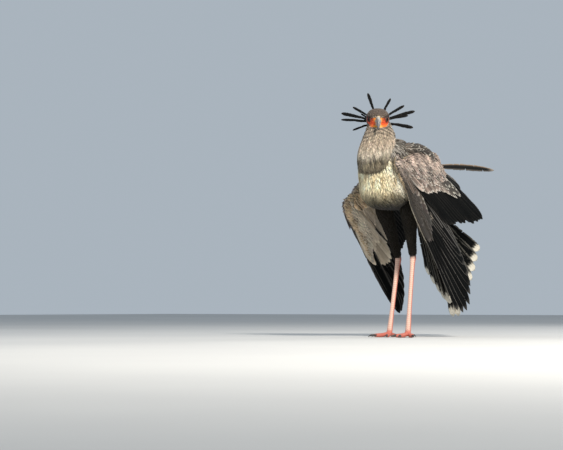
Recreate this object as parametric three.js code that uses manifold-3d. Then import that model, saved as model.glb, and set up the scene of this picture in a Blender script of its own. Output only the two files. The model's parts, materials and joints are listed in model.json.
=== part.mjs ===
// Secretary bird, life size, standing with drooped, half-open wings.
// Units are millimetres, +Z is up, the bird faces -Y and its left side is +X.
// The solids give the outline of the plumage, out to the tips of the flight
// feathers and the crest; each named sub-part is one closed body.
import * as THREE from "three";
import { mergeVertices } from "three/addons/utils/BufferGeometryUtils.js";
import Module from "manifold-3d";

const wasm = await Module();
wasm.setup();
const { Manifold, Mesh: SolidMesh } = wasm;

// ------------------------------------------------------------------ sizes
const GAP = 0.35; // clearance between neighbouring sub-parts

const HEAD_AT = [4, -208, 832]; // middle of the skull
const HEAD_TURN = 34; // degrees, towards the bird's left
const HEAD_NOD = 14; // degrees, bill down
const EYE_RADIUS = 11;
const EYE_SIDE = 29;
const EYE_FORWARD = 23;

const TARSUS_RADIUS = 8.6;
const TOE_RADIUS = 7.4;
const FOOT_JOINT_HEIGHT = 17;
const MIDDLE_TOE = 78;
const SIDE_TOE = 58;
const HIND_TOE = 40;
const CLAW = 23;

const PRIMARIES = 10;
const SECONDARIES = 12;
const RECTRICES = 12;
const VANE_THICK = [5.0, 1.3]; // flight feathers, at the root and at the tip
const VANE_GAP = 0.5; // clearance beside a fan of feathers

// Trunk and neck: [x, front y, front z, back y, back z, half width], from the
// top down; the front line is the breast and the back line is the mantle.
const TRUNK = [
  [0, -236, 738, -122, 778, 54], [0, -258, 690, -72, 764, 80], [0, -268, 636, -24, 736, 93],
  [0, -262, 580, 20, 692, 98], [0, -250, 527, 58, 642, 99], [0, -200, 499, 88, 600, 93],
  [0, -96, 492, 108, 566, 74], [0, -12, 497, 122, 546, 52], [0, 60, 505, 134, 532, 35], [0, 112, 506, 142, 526, 26],
];
const NECK = [
  [6, -246, 842, -166, 846, 37], [5, -252, 806, -150, 818, 43], [3, -256, 786, -140, 802, 49],
  [1, -264, 750, -130, 782, 61], [0, -280, 708, -134, 752, 69], [0, -288, 672, -140, 724, 71],
  [0, -285, 636, -156, 686, 67], [0, -272, 606, -184, 646, 56],
];

// The leg joints, the right leg a little behind the left one.
const LEGS = {
  left: { side: 1, hip: [50, -52, 560], knee: [64, -84, 500], ankle: [50, -27, 311], joint: [52, -70, FOOT_JOINT_HEIGHT], toeOut: 9 },
  right: { side: -1, hip: [-50, -22, 560], knee: [-64, -50, 500], ankle: [-50, 29, 307], joint: [-52, -36, FOOT_JOINT_HEIGHT], toeOut: 12 },
};

// The wings: bones, the leading edge of the hand, and the lines on which the
// flight feathers start and end, from the body outwards.
const WINGS = {
  left: {
    side: 1,
    shoulder: [58, -148, 706], elbow: [108, 22, 676], wrist: [100, -214, 664],
    upper: [[56, -152, 708, 34, 26], [74, -92, 710, 38, 30], [90, -34, 704, 38, 30], [101, 14, 676, 36, 26], [107, 58, 640, 24, 15]],
    edge: [[98, -242, 684], [100, -236, 646], [104, -194, 594], [107, -158, 542], [111, -115, 479], [117, -78, 436], [124, -38, 384]],
    secondaryRoots: [[106, -196, 640], [111, -100, 652], [112, 6, 664]],
    secondaryTips: [[136, 84, 437], [141, 144, 436], [147, 215, 448], [152, 290, 446], [156, 344, 466]],
    primaryRoots: [[106, -176, 612], [107, -158, 566], [109, -136, 512]],
    primaryTips: [[140, 146, 362], [150, 197, 275], [158, 240, 168], [159, 208, 84], [153, 122, 84]],
    outward: [1, -0.08, 0.1],
  },
  right: {
    side: -1,
    shoulder: [-58, -134, 690], elbow: [-128, 6, 648], wrist: [-158, -168, 540],
    upper: [[-60, -140, 694, 38, 26], [-82, -92, 694, 48, 30], [-102, -38, 680, 52, 30], [-118, 16, 648, 48, 26], [-126, 66, 606, 30, 13]],
    edge: [[-154, -168, 562], [-165, -191, 520], [-170, -166, 470], [-172, -128, 434], [-176, -69, 388], [-180, -10, 336], [-182, 24, 307]],
    secondaryRoots: [[-160, -150, 524], [-148, -72, 582], [-136, 8, 632]],
    secondaryTips: [[-148, 196, 296], [-140, 226, 336], [-132, 252, 376], [-125, 276, 414], [-118, 296, 454]],
    primaryRoots: [[-157, -150, 516], [-163, -128, 474], [-171, -98, 428]],
    primaryTips: [[-145, 214, 292], [-158, 262, 210], [-178, 298, 128], [-189, 290, 82], [-188, 226, 132]],
    outward: [-0.95, 0.2, -0.1],
  },
};

const TAIL_BASE = [0, 112, 520];
const TAIL_TIPS = [[-104, 330, 262], [-68, 346, 196], [-30, 358, 140], [0, 372, 120], [34, 392, 158], [70, 408, 222], [92, 408, 292], [114, 406, 364]];
const CENTRAL_TAIL_TIP = [11, 384, 70];

// Crest plumes: where each ends, sideways and up from the middle of the head
// as the face is met, and the width of its blade.
const CREST = [
  [-94, 55, 10], [-138, 32, 14], [-139, 7, 10], [-95, -35, 8], [-36, 109, 12],
  [52, 88, 10], [105, 61, 11], [146, 40, 13], [120, 22, 9], [139, -24, 14],
];

// -------------------------------------------------------------- materials
const paint = (hex, roughness, metalness = 0) =>
  new THREE.MeshStandardMaterial({ color: hex, roughness, metalness });
const MATERIALS = {
  greyPlumage: paint(0x9a938c, 0.85),
  paleBreast: paint(0xd9d2c0, 0.9),
  blackPlumage: paint(0x17181a, 0.7),
  wingCoverts: paint(0x8f867d, 0.8),
  legSkin: paint(0xd8948a, 0.55),
  claw: paint(0x2a2523, 0.4),
  bill: paint(0xb9bec0, 0.35),
  eye: paint(0x2b1a10, 0.1),
};

// ---------------------------------------------------------------- helpers
const vec = (a) => new THREE.Vector3(...a);
const mix = (a, b, t) => vec(a).lerp(vec(b), t).toArray();
const radians = THREE.MathUtils.degToRad;
const smooth = (points) => new THREE.CatmullRomCurve3(points.map(vec), false, "catmullrom", 0.5);

// A three.js geometry as a solid: only positions are kept, shared ones merged.
function solid(geometry) {
  const bare = geometry.index ? geometry.toNonIndexed() : geometry.clone();
  for (const name of Object.keys(bare.attributes)) if (name !== "position") bare.deleteAttribute(name);
  const merged = mergeVertices(bare, 1e-3);
  const index = [];
  const source = merged.index.array;
  for (let i = 0; i < source.length; i += 3)
    if (source[i] !== source[i + 1] && source[i + 1] !== source[i + 2] && source[i] !== source[i + 2])
      index.push(source[i], source[i + 1], source[i + 2]);
  const make = (tris) =>
    new Manifold(new SolidMesh({ numProp: 3, vertProperties: new Float32Array(merged.attributes.position.array), triVerts: new Uint32Array(tris) }));
  const made = make(index);
  if (made.volume() > 0) return made;
  const turned = [];
  for (let i = 0; i < index.length; i += 3) turned.push(index[i], index[i + 2], index[i + 1]);
  return make(turned);
}

// The largest closed body of a solid, so that a cut leaves no loose chip.
const largest = (s) => s.decompose().sort((a, b) => b.volume() - a.volume())[0];
const union = (list) => Manifold.union(list);
const without = (s, ...cutters) => largest(cutters.reduce((left, c) => left.subtract(c), s));

// A rounded body about a line. axesAt(t) gives the middle and the two half
// axes of the section there; `drop` thins the section towards its far side.
function tube(axesAt, { sides = 14, rings = 10, grow = 0, power = 2, tips = [0.35, 0.35], round = 0.12, drop = 0 }) {
  const g = new THREE.CylinderGeometry(1, 1, 1, sides, rings);
  const at = g.getAttribute("position");
  for (let i = 0; i < at.count; i++) {
    const even = 0.5 - at.getY(i);
    const t = THREE.MathUtils.clamp(even - (0.55 * Math.sin(2 * Math.PI * even)) / (2 * Math.PI), 0, 1);
    const { p, a, b } = axesAt(t);
    const tangent = axesAt(Math.min(t + 0.01, 1)).p.sub(axesAt(Math.max(t - 0.01, 0)).p).normalize();
    const end = Math.min(t / round, (1 - t) / round, 1);
    const taper = Math.max(t < 0.5 ? tips[0] : tips[1], Math.sqrt(Math.max(0, 1 - (1 - end) ** 2)));
    let u = at.getX(i);
    let w = at.getZ(i);
    const rim = Math.hypot(u, w) > 1e-6 ? 1 : 0;
    if (power !== 2) {
      u = Math.sign(u) * Math.abs(u) ** (2 / power);
      w = Math.sign(w) * Math.abs(w) ** (2 / power);
    }
    const thin = 1 - (drop * (u + 1)) / 2;
    const [la, lb] = [a.length(), b.length()];
    p.addScaledVector(a, ((la * taper + grow) / la) * u * rim).addScaledVector(b, ((lb * taper * thin + grow) / lb) * w * rim);
    if (grow) p.addScaledVector(tangent, (even > 1 - 1e-6 ? grow : 0) - (even < 1e-6 ? grow : 0));
    at.setXYZ(i, p.x, p.y, p.z);
  }
  return solid(g);
}

// Swept along a line: each station is [x, y, z, half width, half depth] and
// the width lies along `across`.
function sweep(stations, options = {}) {
  const line = smooth(stations.map((s) => s.slice(0, 3)));
  const sizes = smooth(stations.map((s) => [s[3], s[4], 0]));
  const reference = vec(options.across || [1, 0, 0]).normalize();
  return tube((t) => {
    const p = line.getPoint(t);
    const tangent = line.getPoint(Math.min(t + 0.01, 1)).sub(line.getPoint(Math.max(t - 0.01, 0))).normalize();
    const a = reference.clone().addScaledVector(tangent, -reference.dot(tangent)).normalize();
    const b = new THREE.Vector3().crossVectors(tangent, a);
    const size = sizes.getPoint(t);
    return { p, a: a.multiplyScalar(size.x), b: b.multiplyScalar(size.y) };
  }, options);
}

// Lofted between a front line and a back line.
function loft(stations, options = {}) {
  const front = smooth(stations.map(([x, y, z]) => [x, y, z]));
  const back = smooth(stations.map(([x, , , y, z]) => [x, y, z]));
  const widths = smooth(stations.map((s) => [s[5], 0, 0]));
  return tube((t) => {
    const f = front.getPoint(t);
    const d = back.getPoint(t).sub(f).multiplyScalar(0.5);
    return { p: f.add(d), a: new THREE.Vector3(widths.getPoint(t).x, 0, 0), b: d };
  }, options);
}

// A fan of flight feathers as one thin sheet: roots and tips are smooth lines,
// and the edge is cut back between the feathers.
function fan({ count, roots, tips, perFeather = 3, rows = 5, notch = [0.08, 0.08], bow = 0, outward = [0, 0, 1], thick = VANE_THICK, grow = 0 }) {
  const rootLine = smooth(roots);
  const tipLine = smooth(tips);
  const bend = vec(outward).normalize().multiplyScalar(bow);
  const columns = count * perFeather;
  const point = (t, v) => {
    const f = Math.min(t * count, count - 1e-6);
    const q = Math.abs(2 * (f - Math.floor(f)) - 1); // 1 at a feather's edge, 0 on its shaft
    const edge = t < 1e-6 || t > 1 - 1e-6 ? 1 : q;
    const cut = THREE.MathUtils.lerp(notch[0], notch[1], t) * edge ** 1.6;
    const reach = 1 - cut;
    const s = v * reach;
    const p = rootLine.getPoint(t).lerp(tipLine.getPoint(t), s);
    return p.addScaledVector(bend, 4 * s * (1 - 0.72 * s) * 0.8);
  };
  const g = new THREE.BoxGeometry(1, 1, 1, columns, rows, 1);
  const at = g.getAttribute("position");
  const e = 1e-3;
  for (let i = 0; i < at.count; i++) {
    const t = at.getX(i) + 0.5;
    const v = at.getY(i) + 0.5;
    const side = at.getZ(i) * 2;
    const t0 = Math.min(Math.max(t - 0.5 / count, 0), 1);
    const t1 = Math.min(Math.max(t + 0.5 / count, 0), 1);
    const flat = (tt, vv) => rootLine.getPoint(tt).lerp(tipLine.getPoint(tt), vv);
    const du = flat(t1, v).sub(flat(t0, v));
    const dv = flat(t, Math.min(v + e, 1)).sub(flat(t, Math.max(v - e, 0)));
    const normal = new THREE.Vector3().crossVectors(du, dv).normalize();
    const p = point(t, v).addScaledVector(normal, side * (0.5 * THREE.MathUtils.lerp(thick[0], thick[1], v) + grow));
    if (grow) {
      du.normalize();
      dv.normalize();
      p.addScaledVector(du, 2 * grow * ((t > 1 - 1e-6) - (t < 1e-6))).addScaledVector(dv, 2 * grow * ((v > 1 - 1e-6) - (v < 1e-6)));
    }
    at.setXYZ(i, p.x, p.y, p.z);
  }
  return solid(g);
}

// One long feather: a thin blade with a rounded tip.
function plume(root, tip, { width = 10, flat = [0, 0, 1], base = 0.35, widest = 0.7, thick = 1.6, rows = 6, grow = 0 } = {}) {
  const g = new THREE.BoxGeometry(1, 1, 1, 1, rows, 1);
  const at = g.getAttribute("position");
  const a = vec(root);
  const along = vec(tip).sub(a);
  const length = along.length();
  const dir = along.clone().normalize();
  const up = vec(flat).addScaledVector(dir, -vec(flat).dot(dir)).normalize();
  const across = new THREE.Vector3().crossVectors(dir, up);
  for (let i = 0; i < at.count; i++) {
    const v = at.getY(i) + 0.5;
    const rise = v < widest ? base + (1 - base) * Math.sin((v / widest) * (Math.PI / 2)) ** 1.5 : Math.sqrt(Math.max(0.03, 1 - ((v - widest) / (1 - widest)) ** 2.4));
    const p = a.clone().addScaledVector(dir, v * length)
      .addScaledVector(across, at.getX(i) * (width * rise + 2 * grow))
      .addScaledVector(up, at.getZ(i) * (thick * (1.5 - 0.5 * v) + 2 * grow));
    at.setXYZ(i, p.x, p.y, p.z);
  }
  return solid(g);
}

// ---------------------------------------------------------------- the body
const trunkAt = (grow) => loft(TRUNK, { sides: 16, rings: 9, grow, tips: [0.5, 0.5], round: 0.12, power: 2.25 });
const neckAt = (grow) => loft(NECK, { sides: 12, rings: 7, grow, tips: [0.5, 0.6], round: 0.14, power: 2.1 });

// The head is modelled facing -Y about its own middle, then nodded and turned.
const headTurned = new THREE.Matrix4().makeTranslation(...HEAD_AT).multiply(new THREE.Matrix4().makeRotationZ(radians(HEAD_TURN)));
const headPlace = headTurned.clone().multiply(new THREE.Matrix4().makeRotationX(radians(HEAD_NOD)));
const onHead = (s) => s.transform(headPlace.elements);

const SKULL = [
  [0, 46, -8, 20, 22], [0, 34, -3, 36, 35], [0, 12, 1, 44, 40],
  [0, -10, 2, 43, 38], [0, -28, -1, 35, 31], [0, -42, -5, 21, 21],
];
const UPPER_BILL = [[0, -28, 2, 15.5, 15], [0, -46, 5, 13, 15], [0, -61, 3, 10.5, 13.5], [0, -73, -5, 7.8, 10.5], [0, -79.5, -17, 4.8, 6.5], [0, -80, -30, 1.6, 2.2]];
const LOWER_BILL = [[0, -28, -13.5, 13.5, 8], [0, -46, -14, 11, 7.5], [0, -59, -14.5, 8.5, 6.5], [0, -69.5, -15, 4.5, 3.5]];
const skullAt = (grow) => sweep(SKULL, { sides: 12, rings: 8, grow, tips: [0.5, 0.6], round: 0.15, power: 2.35 });
const upperBillAt = (grow) => sweep(UPPER_BILL, { sides: 8, rings: 7, grow, tips: [0.9, 0.6], round: 0.06 });
const lowerBillAt = (grow) => sweep(LOWER_BILL, { sides: 8, rings: 4, grow, tips: [0.9, 0.6], round: 0.06 });
const eyeAt = (side, grow) =>
  solid(new THREE.SphereGeometry(EYE_RADIUS + grow, 10, 7).translate(side * EYE_SIDE, -EYE_FORWARD, 4));

// A plume from the nape, out and a little back.
function crestPlume([out, up, width], grow = 0) {
  const reach = Math.hypot(out, up);
  const place = (share, back) => new THREE.Vector3(out * share, back, -5 + (up + 5) * share).applyMatrix4(headTurned).toArray();
  const facing = new THREE.Vector3(0, 1, 0).transformDirection(headTurned).toArray();
  return plume(place(Math.min(0.2, 16 / reach), 27), place(1, 30 + 0.3 * reach), { width, flat: facing, base: 0.3, widest: 0.78, thick: 1.5, rows: 3, grow });
}

// ---------------------------------------------------------------- the legs
function leg(name) {
  const { side, hip, knee, ankle, joint, toeOut } = LEGS[name];
  const calf = (t) => mix(knee, ankle, t);
  const thighAt = (grow) =>
    sweep([[...hip, 46, 54], [...knee, 34, 42], [...calf(0.3), 27, 31], [...calf(0.62), 20, 22], [...calf(0.86), 16, 17], [...calf(0.99), 14.5, 15]],
      { sides: 10, rings: 7, grow, tips: [0.5, 0.7], round: 0.1 });
  const shankAt = (grow) =>
    sweep([[...calf(0.9), 9, 10], [...mix(ankle, joint, 0.0), 12, 13.5], [...mix(ankle, joint, 0.1), 9.6, 11], [...mix(ankle, joint, 0.3), TARSUS_RADIUS, 10],
      [...mix(ankle, joint, 0.7), TARSUS_RADIUS, 10], [...mix(ankle, joint, 0.9), 10.5, 11], [...mix(ankle, joint, 1.0), 12, 11]],
      { sides: 8, rings: 7, grow, tips: [0.8, 0.7], round: 0.05 });
  // Toes: inner, middle and outer to the front, the hind toe short and raised.
  const toes = [
    { name: "inner", turn: -side * 34 + side * toeOut, length: SIDE_TOE },
    { name: "middle", turn: side * toeOut, length: MIDDLE_TOE },
    { name: "outer", turn: side * 38 + side * toeOut, length: SIDE_TOE + 4 },
    { name: "hind", turn: 180 + side * toeOut - side * 8, length: HIND_TOE },
  ];
  const place = ({ turn, length }, t, up, out = 0) => {
    const a = radians(turn);
    return [joint[0] + Math.sin(a) * (length * t + out), joint[1] - Math.cos(a) * (length * t + out), up];
  };
  const r = TOE_RADIUS;
  const toeSolid = (toe, grow) =>
    sweep([[joint[0], joint[1], FOOT_JOINT_HEIGHT - 3, 10, 9], [...place(toe, 0.3, r + 3.2), r * 1.05, r], [...place(toe, 0.55, r + 0.2), r * 1.08, r + 0.4],
      [...place(toe, 0.8, r - 0.3), r * 0.95, r - 0.1], [...place(toe, 1.0, r - 0.8), r * 0.72, r * 0.72]],
      { sides: 6, rings: 4, grow, across: [Math.cos(radians(toe.turn)), Math.sin(radians(toe.turn)), 0], tips: [0.8, 0.6], round: 0.1 });
  const floor = (s) => s.trimByPlane([0, 0, 1], 0);
  const clawAt = (toe, grow) =>
    sweep([[...place(toe, 1.0, r - 0.4, -7), 4.2, 4.6], [...place(toe, 1.0, r + 0.6, 4), 3.8, 4.2], [...place(toe, 1.0, r - 0.6, 0.55 * CLAW), 2.6, 3.0], [...place(toe, 1.0, 1.9, 0.95 * CLAW), 0.9, 1.0]],
      { sides: 5, rings: 3, grow, across: [Math.cos(radians(toe.turn)), Math.sin(radians(toe.turn)), 0], tips: [0.9, 0.7], round: 0.05 });
  const foot = (grow) => floor(union([...toes.map((toe) => toeSolid(toe, grow)), sweep([[joint[0], joint[1] + 8, 11, 9, 9], [...joint, 12.5, 11], [joint[0], joint[1] - 10, 10, 12, 9]], { sides: 6, rings: 3, grow, tips: [0.6, 0.6] })]));
  return { thighAt, shankAt, toes, foot, clawAt, floor };
}

// --------------------------------------------------------------- the wings
function wing(name) {
  const w = WINGS[name];
  // The forearm and its coverts: a drop-shaped pad over the feather roots,
  // thick along the leading edge and thin where the coverts end.
  const fall = vec(w.secondaryTips[2]).sub(vec(w.secondaryRoots[1])).normalize();
  const lower = (p, d) => vec(p).addScaledVector(fall, d).toArray();
  const along = (t) => mix(w.wrist, w.elbow, t);
  const armAt = (grow) =>
    sweep([[...lower(along(0), 22), 30, 17], [...lower(along(0.22), 40), 58, 22], [...lower(along(0.5), 56), 76, 25], [...lower(along(0.78), 62), 82, 24], [...lower(along(1.0), 62), 72, 20]],
      { sides: 8, rings: 7, grow, across: fall.toArray(), tips: [0.5, 0.5], round: 0.16, drop: 0.72 });
  // The hand: the pad lies behind its leading edge and thins backwards.
  const edge = smooth(w.edge);
  const handWidth = smooth([[16, 12, 0], [27, 15, 0], [34, 14, 0], [38, 12, 0], [36, 9, 0], [27, 6, 0], [12, 3.5, 0]]);
  const handAt = (grow) => {
    const normal = vec(w.outward).normalize();
    return tube((t) => {
      const p = edge.getPoint(t);
      const tangent = edge.getPoint(Math.min(t + 0.02, 1)).sub(edge.getPoint(Math.max(t - 0.02, 0))).normalize();
      const a = new THREE.Vector3().crossVectors(tangent, normal).normalize();
      if (a.y < 0) a.negate();
      const b = new THREE.Vector3().crossVectors(tangent, a);
      const size = handWidth.getPoint(t);
      return { p: p.addScaledVector(a, size.x), a: a.multiplyScalar(size.x), b: b.multiplyScalar(size.y) };
    }, { sides: 10, rings: 7, grow, tips: [0.5, 0.4], round: 0.12, drop: 0.6 });
  };
  const upperAt = (grow) => sweep(w.upper, { sides: 10, rings: 7, grow, across: [0.3 * w.side, 0.3, 0.9], tips: [0.5, 0.4], round: 0.16 });
  const secondaries = (grow = 0) => fan({ count: SECONDARIES, roots: w.secondaryRoots, tips: w.secondaryTips, perFeather: 2, rows: 2, notch: [0.05, 0.07], bow: 9, outward: w.outward, grow });
  const primaries = (grow = 0) => fan({ count: PRIMARIES, roots: w.primaryRoots, tips: w.primaryTips, perFeather: 2, rows: 2, notch: [0.1, 0.16], bow: 8, outward: w.outward, grow });
  return { ...w, armAt, handAt, upperAt, secondaries, primaries };
}

// ------------------------------------------------------------ put together
const group = new THREE.Group();
function add(name, s, material) {
  const m = s.getMesh();
  const g = new THREE.BufferGeometry();
  const xyz = new Float32Array(m.numVert * 3);
  for (let i = 0; i < m.numVert; i++) xyz.set(m.vertProperties.subarray(i * m.numProp, i * m.numProp + 3), i * 3);
  g.setAttribute("position", new THREE.BufferAttribute(xyz, 3));
  g.setIndex(new THREE.BufferAttribute(new Uint32Array(m.triVerts), 1));
  g.computeVertexNormals();
  const mesh = new THREE.Mesh(g, MATERIALS[material]);
  mesh.name = name;
  group.add(mesh);
}

const wings = { left: wing("left"), right: wing("right") };
const legs = { left: leg("left"), right: leg("right") };

// Head, bill and eyes
const eyes = { left: eyeAt(1, 0), right: eyeAt(-1, 0) };
const eyesGrown = [eyeAt(1, GAP), eyeAt(-1, GAP)];
const crest = CREST.map((size) => crestPlume(size));
const head = without(union([onHead(skullAt(0)), ...crest]), ...[upperBillAt(GAP), lowerBillAt(GAP), ...eyesGrown].map(onHead));
const headGrown = union([onHead(union([skullAt(GAP), upperBillAt(GAP), lowerBillAt(GAP), ...eyesGrown])), ...CREST.map((size) => crestPlume(size, GAP))]);
add("head", head, "greyPlumage");
add("bill_upper", onHead(upperBillAt(0)), "bill");
add("bill_lower", onHead(without(lowerBillAt(0), upperBillAt(GAP))), "bill");
add("eye_left", onHead(eyes.left), "eye");
add("eye_right", onHead(eyes.right), "eye");

// Wings: the pads first, each cut to leave a seam to the one before it. Two
// inner flight feathers of the left wing are lifted and blown clear of it.
const blown = (grow) => [
  plume([104, 44, 664], [158, 434, 671], { width: 26, flat: [0.8, -0.1, 0.1], base: 0.5, widest: 0.55, thick: 2.2, grow }),
  plume([105, 44, 652], [122, 198, 600], { width: 30, flat: [0.9, -0.1, 0.2], base: 0.6, widest: 0.6, thick: 2.2, grow }),
];
const cutters = [];
for (const name of ["left", "right"]) {
  const w = wings[name];
  const upperWhole = (grow) => union([w.upperAt(grow), ...(name === "left" ? blown(grow) : [])]);
  const arm = without(union([w.armAt(0), w.secondaries()]), upperWhole(GAP));
  const hand = without(union([w.handAt(0), w.primaries()]), upperWhole(GAP), w.armAt(GAP), w.secondaries(VANE_GAP));
  add(`${name}_wing_upper`, upperWhole(0), "wingCoverts");
  add(`${name}_wing_forearm`, arm, "wingCoverts");
  add(`${name}_wing_hand`, hand, "blackPlumage");
  cutters.push(upperWhole(GAP), w.armAt(GAP), w.handAt(GAP), w.secondaries(VANE_GAP), w.primaries(VANE_GAP));
}

// Neck, then trunk, then tail, each cut by what lies over it
const neck = without(neckAt(0), headGrown, ...cutters);
add("neck", neck, "greyPlumage");
const trunk = without(trunkAt(0), neckAt(GAP), headGrown, ...cutters);
add("trunk", trunk, "paleBreast");

// Tail: twelve feathers in a spread fan, the middle pair much longer
const middlePair = [-1, 1].map((s) => plume([s * 6, TAIL_BASE[1] + 26, TAIL_BASE[2] - 10], [s * CENTRAL_TAIL_TIP[0], CENTRAL_TAIL_TIP[1], CENTRAL_TAIL_TIP[2]], { width: 36, flat: [0, 0.88, 0.47], base: 0.4, widest: 0.8, thick: 2.4, rows: 5 }));
const tailRoots = [[-22, TAIL_BASE[1] - 2, TAIL_BASE[2] - 4], [0, TAIL_BASE[1], TAIL_BASE[2]], [22, TAIL_BASE[1] - 2, TAIL_BASE[2] - 4]];
const tail = without(
  union([
    fan({ count: RECTRICES, roots: tailRoots, tips: TAIL_TIPS, perFeather: 2, rows: 2, notch: [0.09, 0.09], bow: 6, outward: [0, 0.8, 0.6], thick: [6, 1.4] }),
    sweep([[0, TAIL_BASE[1] - 20, TAIL_BASE[2] + 2, 30, 17], [0, TAIL_BASE[1] + 24, TAIL_BASE[2] - 20, 31, 15], [0, TAIL_BASE[1] + 70, TAIL_BASE[2] - 66, 28, 8]], { sides: 10, rings: 4, tips: [0.7, 0.4], round: 0.15 }),
    ...middlePair,
  ]),
  trunkAt(GAP), ...cutters,
);
add("tail", tail, "blackPlumage");

// Legs
for (const name of ["left", "right"]) {
  const l = legs[name];
  add(`${name}_thigh`, without(l.thighAt(0), trunkAt(GAP), l.shankAt(GAP), ...cutters), "blackPlumage");
  add(`${name}_shank`, without(l.shankAt(0), l.foot(GAP)), "legSkin");
  const claws = l.toes.map((toe) => l.clawAt(toe, 0));
  add(`${name}_foot`, without(l.foot(0), ...l.toes.map((toe) => l.clawAt(toe, GAP))), "legSkin");
  l.toes.forEach((toe, i) => add(`${name}_claw_${toe.name}`, largest(l.floor(claws[i])), "claw"));
}

// The origin goes to the floor, under the middle of the whole bird.
const box = new THREE.Box3().setFromObject(group);
group.position.set(-(box.min.x + box.max.x) / 2, -(box.min.y + box.max.y) / 2, -box.min.z);
group.updateMatrixWorld(true);
export default group;
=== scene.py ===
import json
import math
import bpy
import numpy as np
from mathutils import Matrix, Vector
from mathutils.bvhtree import BVHTree

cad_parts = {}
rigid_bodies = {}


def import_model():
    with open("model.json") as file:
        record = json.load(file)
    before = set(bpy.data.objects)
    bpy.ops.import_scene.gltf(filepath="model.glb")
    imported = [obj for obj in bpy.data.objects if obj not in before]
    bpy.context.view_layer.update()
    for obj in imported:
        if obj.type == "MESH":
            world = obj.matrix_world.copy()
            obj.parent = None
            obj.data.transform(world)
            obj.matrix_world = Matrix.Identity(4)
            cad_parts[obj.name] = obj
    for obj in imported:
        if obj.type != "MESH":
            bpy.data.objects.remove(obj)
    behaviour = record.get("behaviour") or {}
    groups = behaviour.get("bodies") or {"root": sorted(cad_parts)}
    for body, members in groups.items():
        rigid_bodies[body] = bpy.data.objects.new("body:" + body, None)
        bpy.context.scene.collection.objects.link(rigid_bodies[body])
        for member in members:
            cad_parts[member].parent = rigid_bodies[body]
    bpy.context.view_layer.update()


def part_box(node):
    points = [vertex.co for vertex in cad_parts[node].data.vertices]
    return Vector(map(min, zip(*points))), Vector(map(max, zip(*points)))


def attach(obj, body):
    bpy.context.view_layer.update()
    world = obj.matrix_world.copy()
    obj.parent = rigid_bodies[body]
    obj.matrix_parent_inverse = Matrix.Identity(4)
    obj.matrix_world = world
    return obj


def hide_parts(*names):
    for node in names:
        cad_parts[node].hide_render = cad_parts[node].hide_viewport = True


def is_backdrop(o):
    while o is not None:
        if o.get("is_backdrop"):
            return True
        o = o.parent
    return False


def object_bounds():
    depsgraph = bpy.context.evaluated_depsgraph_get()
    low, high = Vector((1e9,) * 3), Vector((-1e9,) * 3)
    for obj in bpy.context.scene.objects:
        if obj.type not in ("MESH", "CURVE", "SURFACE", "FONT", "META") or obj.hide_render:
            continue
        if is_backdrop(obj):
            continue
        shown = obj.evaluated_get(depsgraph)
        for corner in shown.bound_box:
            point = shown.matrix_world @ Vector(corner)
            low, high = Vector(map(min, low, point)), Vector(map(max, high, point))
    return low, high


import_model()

RNG = np.random.default_rng(20)
MM = 0.001

# ------------------------------------------------------------ the part's sizes
HEAD_AT = np.array([4.0, -208.0, 832.0])
HEAD_TURN, HEAD_NOD = math.radians(34), math.radians(14)
EYE_RADIUS, EYE_SIDE, EYE_FORWARD, EYE_UP = 11.0, 29.0, 23.0, 4.0
FOOT_JOINT_HEIGHT, TARSUS_RADIUS, TOE_RADIUS = 17.0, 8.6, 7.4
MIDDLE_TOE, SIDE_TOE, HIND_TOE, CLAW = 78.0, 58.0, 40.0, 23.0

TRUNK = [
    [0, -236, 738, -122, 778, 54], [0, -258, 690, -72, 764, 80], [0, -268, 636, -24, 736, 93],
    [0, -262, 580, 20, 692, 98], [0, -250, 527, 58, 642, 99], [0, -200, 499, 88, 600, 93],
    [0, -96, 492, 108, 566, 74], [0, -12, 497, 122, 546, 52], [0, 60, 505, 134, 532, 35], [0, 112, 506, 142, 526, 26],
]
NECK = [
    [6, -246, 842, -166, 846, 37], [5, -252, 806, -150, 818, 43], [3, -256, 786, -140, 802, 49],
    [1, -264, 750, -130, 782, 61], [0, -280, 708, -134, 752, 69], [0, -288, 672, -140, 724, 71],
    [0, -285, 636, -156, 686, 67], [0, -272, 606, -184, 646, 56],
]
SKULL = [
    [0, 46, -8, 20, 22], [0, 34, -3, 36, 35], [0, 12, 1, 44, 40],
    [0, -10, 2, 43, 38], [0, -28, -1, 35, 31], [0, -42, -5, 21, 21],
]
UPPER_BILL = [[0, -28, 2, 15.5, 15], [0, -46, 5, 13, 15], [0, -61, 3, 10.5, 13.5], [0, -73, -5, 7.8, 10.5], [0, -79.5, -17, 4.8, 6.5], [0, -80, -30, 1.6, 2.2]]
LOWER_BILL = [[0, -28, -12.8, 13, 7.6], [0, -46, -12.8, 10, 6.2], [0, -58, -12.8, 6.8, 4.8], [0, -68, -12.6, 2.6, 2.4]]
LEGS = {
    "left": dict(side=1, hip=[50, -52, 560], knee=[64, -84, 500], ankle=[50, -27, 311], joint=[52, -70, FOOT_JOINT_HEIGHT], toe_out=9),
    "right": dict(side=-1, hip=[-50, -22, 560], knee=[-64, -50, 500], ankle=[-50, 29, 307], joint=[-52, -36, FOOT_JOINT_HEIGHT], toe_out=12),
}
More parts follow.
